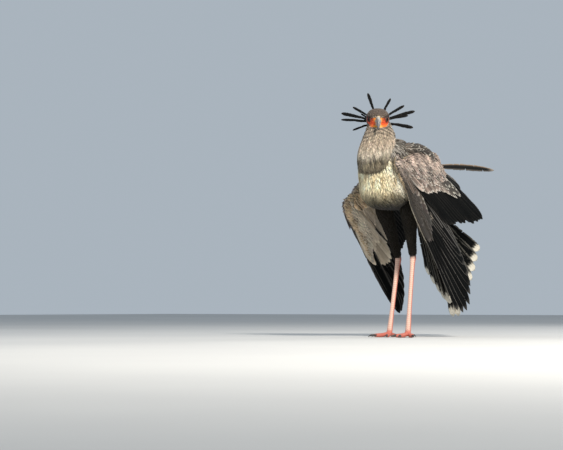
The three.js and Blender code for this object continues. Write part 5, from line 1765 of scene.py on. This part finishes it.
def build_tail():
    n = 12
    outward, fan = TAIL_OUT, tail_fan

    for i in range(n):
        t = (i + 0.5) / n
        mid = abs(2 * t - 1)

        def line(v, t=t, mid=mid):
            return fan(np.full(len(v), t), v * 0.985) - outward * (2.2 * mid)

        def normal(v, t=t):
            e = 1e-2
            du = fan(np.full(len(v), min(t + e, 1)), v) - fan(np.full(len(v), max(t - e, 0)), v)
            dv = fan(np.full(len(v), t), v + e) - fan(np.full(len(v), t), v - e)
            nn = unit(np.cross(du, dv))
            return nn * np.where(nn @ outward < 0, -1.0, 1.0)[:, None]

        T = line(A([0.6]))[0] - line(A([0.5]))[0]
        B = np.cross(T, normal(A([0.5]))[0])
        du = fan(A([min(t + 0.02, 1)]), A([0.6]))[0] - fan(A([max(t - 0.02, 0)]), A([0.6]))[0]
        out_side = 1 if t > 0.5 else -1
        lead_plus = (B @ du) * out_side > 0
        narrow, wide = 16, 24
        a, b = (narrow, wide) if lead_plus else (wide, narrow)
        # the middle feathers lie over the outer ones
        tl = -0.07 if lead_plus else 0.07
        tail_q.add(line, normal, a, b, outline(0.4, 0.45, 0.88, 2.0), lambda v, u, side: tail_paint(v, u, side, 0.905, (0.34, 0)), rows=30, thick=0.8, shaft=2.2, splits=4, split_depth=0.5, ragged=0.05, tilt=tl, camber=0.1, rim=0.25, edge=WHITE)
    for s in (-1, 1):
        flat = unit(A([0, 0.88, 0.47]))
        a, b = A([s * 6, 138, 510]) + flat * 2.5, A([s * 11, 384, 70]) + flat * (1.2 if s > 0 else -0.6)
        base = straight(a, b, flat * 3)
        fine = np.linspace(0, 1, 60)
        sheet = tail_fan(np.full(60, 0.5 + 0.012 * s), fine * 1.0)
        on = base(fine)
        gap = ((on[:, None] - sheet[None]) ** 2).sum(-1)
        near = gap.argmin(1)
        lift = np.maximum(0, 3.4 - (on - sheet[near]) @ TAIL_OUT)
        past = step(0.80, 1.0, fine)
        lift = lift * (1 - past) + np.interp(0.80, fine, lift) * past * 0.45
        for _ in range(4):
            lift[1:-1] = (lift[:-2] + 2 * lift[1:-1] + lift[2:]) / 4

        def line(v, base=base, fine=fine, lift=lift):
            return base(v) + TAIL_OUT * np.interp(v, fine, lift)[:, None]

        def turned(v, line=line, s=s):
            T = unit(line(np.minimum(v + 0.02, 1)) - line(np.maximum(v - 0.02, 0)))
            return unit(np.cross(A([1.0, 0, 0]), T)) * np.where(np.cross(A([1.0, 0, 0]), T)[:, 1:2] < 0, -1.0, 1.0)

        tail_q.add(line, turned, 17, 17, outline(0.45, 0.5, 0.90, 2.6), lambda v, u, side: tail_paint(v, u, side, 0.925, (0.80, 0)), rows=36, thick=0.9, shaft=2.6, splits=3, split_depth=0.4, camber=0.12, rim=0.2, edge=WHITE)


build_tail()
tail_q.finish()

tail_coat = Coat("tail_covert_feathers", MAT["soft"], "grey_plumage")


def coat_tail():
    t, ph = rows_on(tail_pad, 7.0, 6.5, 0.0, 0.97)
    n = len(t)
    P, N = lay(tail_pad, t, ph, lerp(34, 58, t) * RNG.uniform(0.85, 1.15, n), 6, RNG.normal(0, 0.08, n), depth=5.5, lift=RNG.uniform(-2.5, -1.0, n), ruffle=RNG.uniform(0, 1.0, n))
    W = lerp(6, 8.5, t)[:, None] * blade(np.linspace(0, 1, 6), 0.6, 0.5, 0.3)[None]
    up = step(-0.2, 0.3, N[:, 0, 2] + N[:, 0, 1] * 0.3)
    col = vary(lerp(TAIL_GREY * 1.2, WHITE * 0.85, up[:, None]), 0.08, n)
    tail_coat.add(P, N, W, col, np.clip(col * 1.2, 0, 0.95), 0.6, charted(t, ph), ragged=0.15, thin=0.15, ridge=0.05, camber=0.12)
    # long coverts spread over both faces of the fan
    k = 8
    v = np.linspace(0, 1, k)[None]
    for f in (1, -1):
        for row, (v0, v1, many) in enumerate([(0.06, 0.33, 17), (0.02, 0.27, 17), (-0.02, 0.21, 15), (-0.05, 0.16, 15), (-0.07, 0.11, 13)]):
            t = (np.arange(many) + 0.5 + RNG.uniform(-0.3, 0.3, many)) / many
            a, b = v0 + RNG.uniform(-0.01, 0.01, many), v1 + RNG.uniform(-0.03, 0.03, many) - 0.05 * np.abs(2 * t - 1)
            vv = a[:, None] + (b - a)[:, None] * v
            P = tail_fan(t[:, None] + 0 * vv, vv)
            pad = lerp(13.0, 1.5, step(-0.02, 0.26, vv))
            P = P + TAIL_OUT * (f * (pad + 1.1 * row + 1.0 * v**0.5))[..., None]
            N = np.broadcast_to(TAIL_OUT * f, P.shape)
            W = np.full((many, 1), 9.0 - 0.6 * row) * blade(v, 0.5, 0.55, 0.22)
            shade = lerp(WHITE * 0.95, TAIL_GREY * 1.1, step(0.25, 0.0, vv)[..., None] * 0 + (0.5 if f < 0 else 0.12) * RNG.uniform(0, 1, (many, 1, 1)))
            # each covert darkened towards its root: painted shade where it lies under the feathers before it
            col = shade * (1 + 0.06 * RNG.normal(0, 1, (many, 1, 1))) * np.linspace(0.78, 1.05, k)[None, :, None]
            uv = np.stack([np.clip((0.25 + 0.5 * t * f) % 1.0, 0.02, 0.98), np.clip(0.15 + 2.0 * (a + 0.07), 0, 0.98)], -1)
            tail_coat.add(P, N, W, col, np.clip(col[:, -1] * 1.15, 0, 0.95), 0.6, uv, nu=4, ragged=0.12, thin=0.2, ridge=0.05, camber=0.14)


coat_tail()
tail_coat.finish()

# ---------------------------------------------------------------- the crest
crest_q = Quills("crest_feathers", MAT["black"], "black_plumage", grid=6)


def build_crest():
    sizes = [tuple(c) + (1.0,) for c in CREST]
    extra = []
    pick = np.random.default_rng(11)
    wide = [c for c in CREST if abs(c[0]) > 38]
    for i in range(13):
        o, u, w = wide[i % len(wide)]
        k = pick.uniform(0.35, 0.72)
        turn = pick.uniform(-0.11, 0.11)
        extra.append((o * math.cos(turn) - u * math.sin(turn), u * math.cos(turn) + o * math.sin(turn), w * pick.uniform(0.6, 0.85), k))
    Rz = rot("Z", HEAD_TURN)
    facing = unit(Rz @ A([0, -1, 0]))
    for i, (out, up, width, k) in enumerate(sizes + extra):
        reach = math.hypot(out, up)
        place = lambda share, back: Rz @ A([out * share, back, -5 + (up + 5) * share]) + HEAD_AT
        r0 = min(0.2, 16 / reach)
        a = place(r0, 27 + (0 if k == 1 else RNG.uniform(-3, 4)))
        b = place(k, 30 + 0.3 * reach * k + (0 if k == 1 else RNG.uniform(-6, 6)))
        along = unit(b - a)
        droop = A([0, 0, -1]) * (0.045 * np.linalg.norm(b - a) * (1 if abs(out) > 60 else 0.3))
        if k == 1:
            droop *= -0.15
        tone = BLACK * RNG.uniform(0.7, 1.3) + 0.001

        def paint(v, u, side, tone=tone):
            c = np.tile(tone, (len(v), 1))
            c = lerp(CROWN * 0.7, c, step(0.05, 0.22, v)[:, None])
            return lerp(c, c * 1.4 + 0.004, (step(0.6, 1.0, np.abs(u)) * 0.5)[:, None])

        prof = lambda v: np.where(v < 0.78, 0.26 + 0.74 * np.sin(np.clip(v / 0.78, 0, 1) * np.pi / 2) ** 1.6, np.sqrt(np.maximum(0.02, 1 - (np.clip(v - 0.78, 0, 1) / 0.22) ** 2.3)))
        crest_q.add(straight(a, b, droop), constant(facing), width * 0.5, width * 0.5, prof, paint, rows=26, thick=0.6, shaft=1.2, splits=2, split_depth=0.45, ragged=0.06, camber=0.18, slant=0.7, rim=0.2, edge=CROWN)


build_crest()
crest_q.finish()

# ------------------------------------------------------- feathers of the head
head_coat = Coat("head_feathers", MAT["soft"], "grey_plumage")


def coat_head():
    t, ph = rows_on(skull, 2.1, 2.0, 0.0, 1.0, jitter=0.45)
    at = skull.at(t, ph)
    q = off_head(at)
    keep = (face_mask(q) < 0.7) & ~hidden(at, "neck", by=5.0)
    bill = INSIDE_BILL.depth(at)
    keep &= bill < 0.5
    away = np.degrees(np.arccos(np.clip(q[:, 1] / np.linalg.norm(q, axis=1), -1, 1)))
    pole = (away < 66) & ~hidden(at, "neck", by=9.0)
    pole_t, pole_ph, pole_q = t[pole], ph[pole], q[pole]
    keep &= away > 56
    t, ph, q, at = t[keep], ph[keep], q[keep], at[keep]
    n = len(t)
    back = step(-30, 30, q[:, 1])
    length = lerp(4.8, 12.5, back) * RNG.uniform(0.8, 1.25, n)
    P, N = lay(skull, t, ph, length, 4, np.pi + RNG.normal(0, 0.14, n), depth=1.8, lift=RNG.uniform(-0.3, 0.2, n), ruffle=RNG.uniform(0, 0.35, n))
    W = lerp(0.8, 1.5, back)[:, None] * blade(np.linspace(0, 1, 4), 0.7, 0.4, 0.14)[None]
    brow = np.exp(-((q[:, 2] - 15.5) / 3.2) ** 2) * step(-42, -34, q[:, 1]) * (1 - step(-12, -4, q[:, 1])) * step(14, 22, np.abs(q[:, 0]))
    P = P + N * (3.2 * brow[:, None] * np.linspace(0.2, 1, 4)[None])[..., None]
    crown = np.maximum(step(0, 15, q[:, 2] + 0.25 * q[:, 1]), step(1, 7, q[:, 2]) * (1 - step(-16, -4, q[:, 1])))
    chin = 1 - step(-26, -10, q[:, 2])
    c = lerp(CHEEK, CROWN, crown[:, None])
    c = lerp(c, NECK_PALE * 1.05, (chin * 0.7)[:, None])
    c = c * (1 - 0.15 * step(0.1, 0.8, noise_of(at, 9.0, 1.0)))[:, None]
    # the brow feathers darkened as painted shadow of the brow over the eye
    c = lerp(c, CROWN * 0.22, (brow * 0.9)[:, None])
    # painted shadow below the bare face
    c = lerp(c, CROWN * 0.30, (under_face_shadow(q) * 0.85)[:, None])
    c = vary(c, 0.09, n)
    # each feather darkened towards its root: painted shade where it lies under the feathers before it
    shade = np.stack([c * 0.8, c * 0.92, c * 1.02, c * 1.08], 1)
    head_coat.add(P, N, W, shade, np.clip(c * 1.2, 0, 0.92), 0.6, charted(t, ph), ragged=0.35, thin=0.06, ridge=0.04, camber=0.10)

    # round the back of the head they all run down to the neck
    m = 1700
    i = np.arange(m) + 0.5
    lean = np.arccos(1 - i / m * (1 - math.cos(math.radians(66))))
    turn = i * np.pi * (3 - 5**0.5)
    u = np.stack([np.sin(lean) * np.cos(turn), np.cos(lean), np.sin(lean) * np.sin(turn)], -1)
    u = unit(u + 0.012 * RNG.normal(0, 1, u.shape))
    down = A([0, 0.30, -1.0])
    T = unit(down - u * (u @ down)[:, None] + 0.16 * RNG.normal(0, 1, u.shape) * (1 - u**2))
    k = 5
    L = RNG.uniform(11, 17, m)
    P, N, keep = np.zeros((m, k, 3)), np.zeros((m, k, 3)), np.ones(m, bool)
    for j in range(k):
        d = unit(u + T * (L * (j / (k - 1) - 0.1) / 49.0)[:, None])
        far = to_row(on_head(d * 70))
        for g in range(m):
            ok, loc, nor, _ = skin.ray_cast(Vector(far[g]), Vector((HEAD_R @ -d[g]).tolist()))
            rad = 70 - (loc - Vector(far[g])).length / MM if ok else 0
            if not ok or abs(rad - 50) > 12:
                keep[g] = keep[g] and j > 0
                P[g, j], N[g, j] = (P[g, j - 1] + (P[g, j - 1] - P[g, j - 2]) if j > 1 else on_head(d[g:g + 1] * 50)[0]), (N[g, j - 1] if j else HEAD_R @ d[g])
            else:
                P[g, j], N[g, j] = A(loc) / MM - SHIFT, A(nor)
    P, N, u, L = P[keep], unit(N[keep]), u[keep], L[keep]
    m = len(P)
    at = P[:, 0].copy()
    P = P + N * (np.linspace(-1.6, 1.5, k)[None] + RNG.uniform(-0.2, 0.5, (m, 1)) * np.linspace(0, 1, k)[None])[..., None]
    near = np.array([((pole_q - q0) ** 2).sum(1).argmin() for q0 in u * 49.0])
    W = RNG.uniform(1.7, 2.3, (m, 1)) * blade(np.linspace(0, 1, k), 0.6, 0.42, 0.12)[None]
    q = u * 49.0
    c = lerp(BACK_GREY * 1.05, CROWN * 1.1, step(2, 24, q[:, 2] + 5 * noise_of(at, 9.0, 4.0))[:, None])
    c = vary(c, 0.10, m)
    # each feather darkened towards its root: painted shade where it lies under the feathers before it
    shade = np.stack([c * 0.75, c * 0.86, c * 0.98, c * 1.05, c * 1.1], 1)
    head_coat.add(P, N, W, shade, np.clip(c * 1.25, 0, 0.92), 0.6, charted(pole_t[near], pole_ph[near]), ragged=0.2, thin=0.08, ridge=0.04, camber=0.12)


INSIDE_BILL = Inside(*closed(upper_bill, 30, 24))
coat_head()
head_coat.finish()


# --------------------------------------- small feathers where skin still shows
def fill_bare():
    """Looks out from the skin all over; where no feather lies above it, a small
    one is set there, in the lie of the part it is on."""
    bpy.context.view_layer.update()
    dg = bpy.context.evaluated_depsgraph_get()
    over = [o for o in bpy.data.objects if o.type == "MESH" and "feathers" in o.name]
    me = skin.data
    v = verts_of(me)
    nrm = np.empty(len(me.vertices) * 3, np.float32)
    me.vertices.foreach_get("normal", nrm)
    nrm = nrm.reshape(-1, 3).astype(float)
    p = v / MM - SHIFT
    q = off_head(p)
    r = np.linalg.norm(q, axis=1)
    head = r < 60
    use = (p[:, 2] > 326) & (face_mask(q) * (r < 64) < 0.12) & ~((q[:, 1] < -36) & (np.abs(q[:, 0]) < 17) & (q[:, 2] < 12) & (r < 90))
    size = np.where(head, 2.4, 4.6)
    cell = np.floor(p / size[:, None]).astype(np.int64) + (head[:, None] * 100000)
    _, first = np.unique(cell, axis=0, return_index=True)
    cand = first[use[first]]
    bare = []
    for i in cand:
        o, d = Vector(v[i] - nrm[i] * 0.0003), Vector(nrm[i])
        if not any(ob.ray_cast(o, d, distance=0.022, depsgraph=dg)[0] for ob in over):
            bare.append(i)
    bare = np.array(bare, int)
    print("bare places", len(bare), "of", len(cand))
    bodies = [("trunk", trunk), ("neck", neck), ("skull", skull), ("tail", tail_pad)]
    for name, w in wings.items():
        bodies += [(f"{name}_arm", w.arm), (f"{name}_hand", w.hand), (f"{name}_upper", w.upper_pad)]
    bodies += [(f"{name}_thigh", g.thigh) for name, g in legs.items()]
    tt, pp = np.meshgrid(np.linspace(0, 1, 34), np.linspace(0, 2 * np.pi, 40, endpoint=False), indexing="ij")
    tt, pp = tt.ravel(), pp.ravel()
    near = np.full(len(bare), 1e9)
    which, t_of, p_of = np.zeros(len(bare), int), np.zeros(len(bare)), np.zeros(len(bare))
    for b, (_, body) in enumerate(bodies):
        pts = body.at(tt, pp)
        for lo_ in range(0, len(bare), 2000):
            part = slice(lo_, lo_ + 2000)
            d = np.linalg.norm(p[bare[part], None] - pts[None], axis=2)
            k = d.argmin(1)
            best = d[np.arange(len(k)), k]
            better = best < near[part]
            near[part] = np.where(better, best, near[part])
            which[part] = np.where(better, b, which[part])
            t_of[part] = np.where(better, tt[k], t_of[part])
            p_of[part] = np.where(better, pp[k], p_of[part])
    made = {"wing": Coat("small_wing_feathers", MAT["covert"], "wing_coverts"), "body": Coat("small_body_feathers", MAT["soft"], "grey_plumage")}
    k = 5
    s = np.linspace(0, 1, k)[None]
    for b, (name, body) in enumerate(bodies):
        who = bare[which == b]
        if not len(who):
            continue
        n = len(who)
        P0, N0 = p[who], nrm[who]
        wing = name.split("_")[-1] in ("arm", "hand", "upper")
        L, width = (13.0, 4.4)
        if wing:
            w = wings[name.split("_")[0]]
            D = w.fall if name.endswith("arm") else unit(w.edge[5] - w.edge[1]) if name.endswith("hand") else unit(w.elbow - w.shoulder)
            face = np.where(N0 @ w.out > 0, 1.0, -1.0)
            D = D + w.out * face[:, None] * 0.4
            rr = RNG.uniform(0, 1, (n, 1))
            top = lerp(COVERT_DARK * 0.7, COVERT_LIGHT, rr) if name.endswith("arm") else lerp(SCAPULAR, COVERT_DARK * 0.8, rr)
            col = vary(np.where((face > 0)[:, None], top, lerp(UNDER * 0.35, UNDER * 1.3, rr)), 0.06, n)
            edge = np.where((face > 0)[:, None], COVERT_PALE if name.endswith("arm") else COVERT * 0.4, UNDER_PALE)
        else:
            if name == "skull":
                D, L, width = HEAD_R @ A([0, 1, 0]), 6.0, 1.5
                qq = q[who]
                col = lerp(CHEEK, CROWN, step(0, 15, qq[:, 2] + 0.25 * qq[:, 1])[:, None])
            elif name == "neck":
                D, L, width = A([0, 0.1, -1.0]), 13.0, 2.6
                col = neck_colour(P0, t_of[which == b], p_of[which == b])
            elif name == "trunk":
                D, L, width = A([0, 0.5, -0.8]), 20.0, 4.2
                col = trunk_colour(P0, np.sin(p_of[which == b]), t_of[which == b])
            elif name == "tail":
                D, L, width = unit(TAIL_TIPS_MID - A(TAIL_BASE)), 22.0, 5.0
                col = np.tile(WHITE * 0.7, (n, 1))
            else:
                D, L, width = A([0, 0, -1.0]), 13.0, 3.2
                col = np.tile(THIGH, (n, 1))
            col = vary(col, 0.08, n)
            edge = np.clip(col * 1.15, 0, 0.92)
        T = unit(D - N0 * (N0 * D).sum(1)[:, None])
        P = P0[:, None] + T[:, None] * (L * RNG.uniform(0.85, 1.2, (n, 1)) * (s - 0.3))[..., None] + N0[:, None] * (-1.4 * (1 - s) + 1.5 * s * RNG.uniform(0.6, 1.2, (n, 1)))[..., None]
        W = width * blade(s, 0.6, 0.5, 0.25) * np.ones((n, 1))
        cx, cy = (b % 4) * 0.25, (b // 4) * 0.25
        uv = charted(t_of[which == b], p_of[which == b], (cx + 0.01, cy + 0.01, cx + 0.24, cy + 0.24))
        made["wing" if wing else "body"].add(P, np.broadcast_to(N0[:, None], P.shape), W, col, edge, 0.8 if wing else 0.5, uv, ragged=0.12, thin=0.1, ridge=0.05, camber=0.12)
    for c in made.values():
        c.finish()


TAIL_TIPS_MID = A(TAIL_TIPS[3])
fill_bare()


# ------------------------------------------------------- bill, eyes and claws
def build_bill():
    for name, body, node in (("upper_bill", upper_bill, "bill_upper"), ("lower_bill", lower_bill, "bill_lower")):
        v, f = closed(body, 96, 72, -0.15)
        q = off_head(v)
        upper = node == "bill_upper"
        nrm = unit(q - A([0, 0, 0]) * 0 - np.c_[np.zeros(len(q)), q[:, 1], np.full(len(q), 3.0 if upper else -14.0)])
        push = np.zeros(len(q))
        col = lerp(A([0.36, 0.33, 0.27]), A([0.29, 0.305, 0.32]), (0.5 + 0.5 * np.sin(q[:, 1] * 0.35 + q[:, 2] * 0.25))[:, None])
        if upper:
            cere = 1 - step(-50, -45, q[:, 1] + 0 * q[:, 2])
            cere = step(-50.5, -46.5, q[:, 1] + 0.12 * q[:, 2])
            push += 0.5 * cere - 0.55 * np.exp(-(((q[:, 1] + 0.12 * q[:, 2]) + 50.5) / 1.3) ** 2)
            nos = ((q[:, 1] + 52.5 - 0.55 * (q[:, 2] - 6)) / 2.0) ** 2 + ((q[:, 2] - 6.5) / 3.9) ** 2
            hole = np.exp(-nos * 1.1) * (np.abs(q[:, 0]) > 4)
            push -= 3.0 * hole
            push += 0.35 * np.exp(-((q[:, 2] + 9.0) / 1.2) ** 2) * step(-74, -66, q[:, 1])
            # the top of the bill behind the hook painted paler: a painted highlight on the ridge
            top = step(8, 17, q[:, 2]) * step(-66, -58, q[:, 1])
            col = lerp(col, A([0.50, 0.46, 0.40]), (top * 0.8)[:, None])
            col = lerp(col, A([0.17, 0.165, 0.17]), (1 - step(-78, -64, q[:, 1]))[:, None])
            col = lerp(col, A([0.05, 0.047, 0.047]), (1 - step(-30, -16, q[:, 2]))[:, None] * 0.9)
            col = lerp(col, A([0.62, 0.43, 0.17]), (cere * 0.85)[:, None])
            col = lerp(col, FACE_ORANGE * 0.9, (step(-36, -31, q[:, 1]) * 0.8)[:, None])
            # the nostril's dent darkened to near black: painted shade inside the opening
            col = lerp(col, A([0.03, 0.025, 0.025]), np.clip(hole * 2.2, 0, 1)[:, None])
        else:
            col = lerp(col, A([0.44, 0.41, 0.35]), (step(-52, -44, q[:, 1]) * 0.8)[:, None])
            col = lerp(col, FACE_YELLOW * 0.9, (step(-40, -32, q[:, 1]) * 0.8)[:, None])
        if upper:
            # the ridge along the top is narrower than the cutting edges
            tall = step(-6, 17, q[:, 2] + 0.012 * (q[:, 1] + 40) ** 2 * (q[:, 1] < -40))
            q = q * np.stack([lerp(1.0, 0.66, tall), np.ones(len(q)), np.ones(len(q))], -1)
        line = np.sin(q[:, 1] * 2.1 + q[:, 2] * 0.6) * 0.06
        q = q + nrm * (push + line)[:, None]
        ob = make_mesh(name, to_row(on_head(q)), f, {"Col": np.clip(col, 0, 1)}, material=BILL_MAT)
        own(ob, "bill_horn", node)


def build_eyes():
    for side, name in ((1, "left"), (-1, "right")):
        axis = unit(A([side * 0.86, -0.5, 0.06]))
        up = unit(A([0, 0, 1]) - axis * axis[2])
        right = np.cross(up, axis)
        nr, na = 56, 72
        th = np.linspace(0, np.pi, nr + 1)[1:-1]
        ph = np.linspace(0, 2 * np.pi, na, endpoint=False)
        R = EYE_RADIUS - 0.35
        rad = R + 0.55 * np.exp(-(th / 0.42) ** 2)
        pts = rad[:, None, None] * (np.cos(th)[:, None, None] * axis + np.sin(th)[:, None, None] * (np.cos(ph)[None, :, None] * right + np.sin(ph)[None, :, None] * up))
        v = np.vstack([pts.reshape(-1, 3), axis * rad[0], -axis * R])
        v = v + A([side * EYE_SIDE, -EYE_FORWARD, EYE_UP])
        n1 = nr - 1
        i, j = np.meshgrid(np.arange(n1 - 1), np.arange(na), indexing="ij")
        k = (j + 1) % na
        quads = np.stack([i * na + j, (i + 1) * na + j, (i + 1) * na + k, i * na + k], -1).reshape(-1, 4)
        j = np.arange(na)
        k = (j + 1) % na
        cap1 = np.stack([np.full(na, n1 * na), j, k], -1)
        cap2 = np.stack([np.full(na, n1 * na + 1), (n1 - 1) * na + k, (n1 - 1) * na + j], -1)
        r = np.concatenate([np.repeat(np.sin(th) * R, na), [0, 0]])
        frontal = np.concatenate([np.repeat(np.cos(th), na), [1, -1]]) > 0
        iris = lerp(A([0.014, 0.007, 0.004]), A([0.042, 0.019, 0.008]), step(4.9, 7.0, r)[:, None])
        col = lerp(np.tile(A([0.003, 0.003, 0.003]), (len(v), 1)), iris, step(4.7, 5.2, r)[:, None])
        col = lerp(col, A([0.02, 0.015, 0.012]), step(6.9, 7.5, r)[:, None])
        col[~frontal] = [0.25, 0.2, 0.18]
        faces = [quads, np.vstack([cap1, cap2])]
        ob = make_mesh(f"{name}_eyeball", to_row(on_head(v)), faces, {"Col": col}, material=EYE_MAT)
        own(ob, "eye", f"eye_{name}")


def tube_through(pts, radii, m=8):
    """A closed round tube through points: vertices and faces."""
    pts, radii = A(pts), A(radii)
    T = unit(np.gradient(pts, axis=0))
    ref = np.where(np.abs(T[:, 2:3]) > 0.9, A([1, 0, 0]), A([0, 0, 1]))
    U = unit(np.cross(T, ref))
    W = np.cross(T, U)
    a = np.linspace(0, 2 * np.pi, m, endpoint=False)
    ring = pts[:, None] + radii[:, None, None] * (np.cos(a)[None, :, None] * U[:, None] + np.sin(a)[None, :, None] * W[:, None])
    n = len(pts)
    v = np.vstack([ring.reshape(-1, 3), pts[:1], pts[-1:]])
    i, j = np.meshgrid(np.arange(n - 1), np.arange(m), indexing="ij")
    k = (j + 1) % m
    q = np.stack([i * m + j, i * m + k, (i + 1) * m + k, (i + 1) * m + j], -1).reshape(-1, 4)
    j = np.arange(m)
    k = (j + 1) % m
    c = np.vstack([np.stack([np.full(m, n * m), k, j], -1), np.stack([np.full(m, n * m + 1), (n - 1) * m + j, (n - 1) * m + k], -1)])
    return v, q, c


def build_lashes():
    V, Q, C3, base = [], [], [], 0
    for side in (1, -1):
        axis = unit(A([side * 0.86, -0.5, 0.06]))
        up = unit(A([0, 0, 1]) - axis * axis[2])
        right = np.cross(up, axis)
        e = A([side * EYE_SIDE, -EYE_FORWARD, EYE_UP])
        for i in range(19):
            a = math.radians(lerp(22, 158, i / 18))
            rim = math.radians(49)
            d = math.cos(rim) * axis + math.sin(rim) * (math.cos(a) * right + math.sin(a) * up)
            root = e + d * (EYE_RADIUS + 0.8)
            out = unit(axis * 0.9 + (math.cos(a) * right + math.sin(a) * up) * 0.75)
            Lh = 7.5 + 3.5 * math.sin(a) + RNG.uniform(-0.7, 0.7)
            s = np.linspace(0, 1, 7)[:, None]
            pts = root - out * 1.2 + out * (Lh * s) + up * (2.6 * s**2) + A([0, 1, 0]) * (3.0 * s**2)
            v, q, c = tube_through(pts, lerp(0.42, 0.08, s[:, 0]), 5)
            V.append(v); Q.append(q + base); C3.append(c + base)
            base += len(v)
    V = np.vstack(V)
    n = len(V)
    ob = make_mesh("eyelashes", to_row(on_head(V)), [np.vstack(Q), np.vstack(C3)], {"Col": np.tile(BLACK * 1.5, (n, 1))}, material=CLAW_MAT)
    own(ob, "black_plumage")


def build_claws():
    for name, g in legs.items():
        V, F, C, base = [], [], [], 0
        nodes = []
        for toe in g.toes:
            body = g.claw(toe)
            v, f = closed(body, 40, 26, -0.05)
            v[:, 2] = np.maximum(v[:, 2], 0.0)
            d = np.linalg.norm(v[:, :2] - A(g.toe_point(toe, 1.0, 0.0, -7))[None, :2], axis=1) / (CLAW + 7)
            c = lerp(np.tile(A([0.06, 0.05, 0.045]), (len(v), 1)), A([0.018, 0.016, 0.016]), step(0.2, 0.9, d)[:, None])
            V.append(v); C.append(c)
            F += [tuple(i + base for i in q) for q in f]
            base += len(v)
            nodes.append(f"{name}_claw_{toe[0]}")
        ob = make_mesh(f"{name}_claws", to_row(np.vstack(V)), F, {"Col": np.vstack(C)}, material=CLAW_MAT)
        own(ob, "claw_horn", *nodes)


build_bill()
build_eyes()
build_lashes()
build_claws()

total = sum(sum(len(p.vertices) - 2 for p in o.data.polygons) for o in bpy.data.objects if o.type == "MESH" and o.name in bpy.context.scene.objects and not o.hide_render)
print("triangles shown", total)
lo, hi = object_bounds()
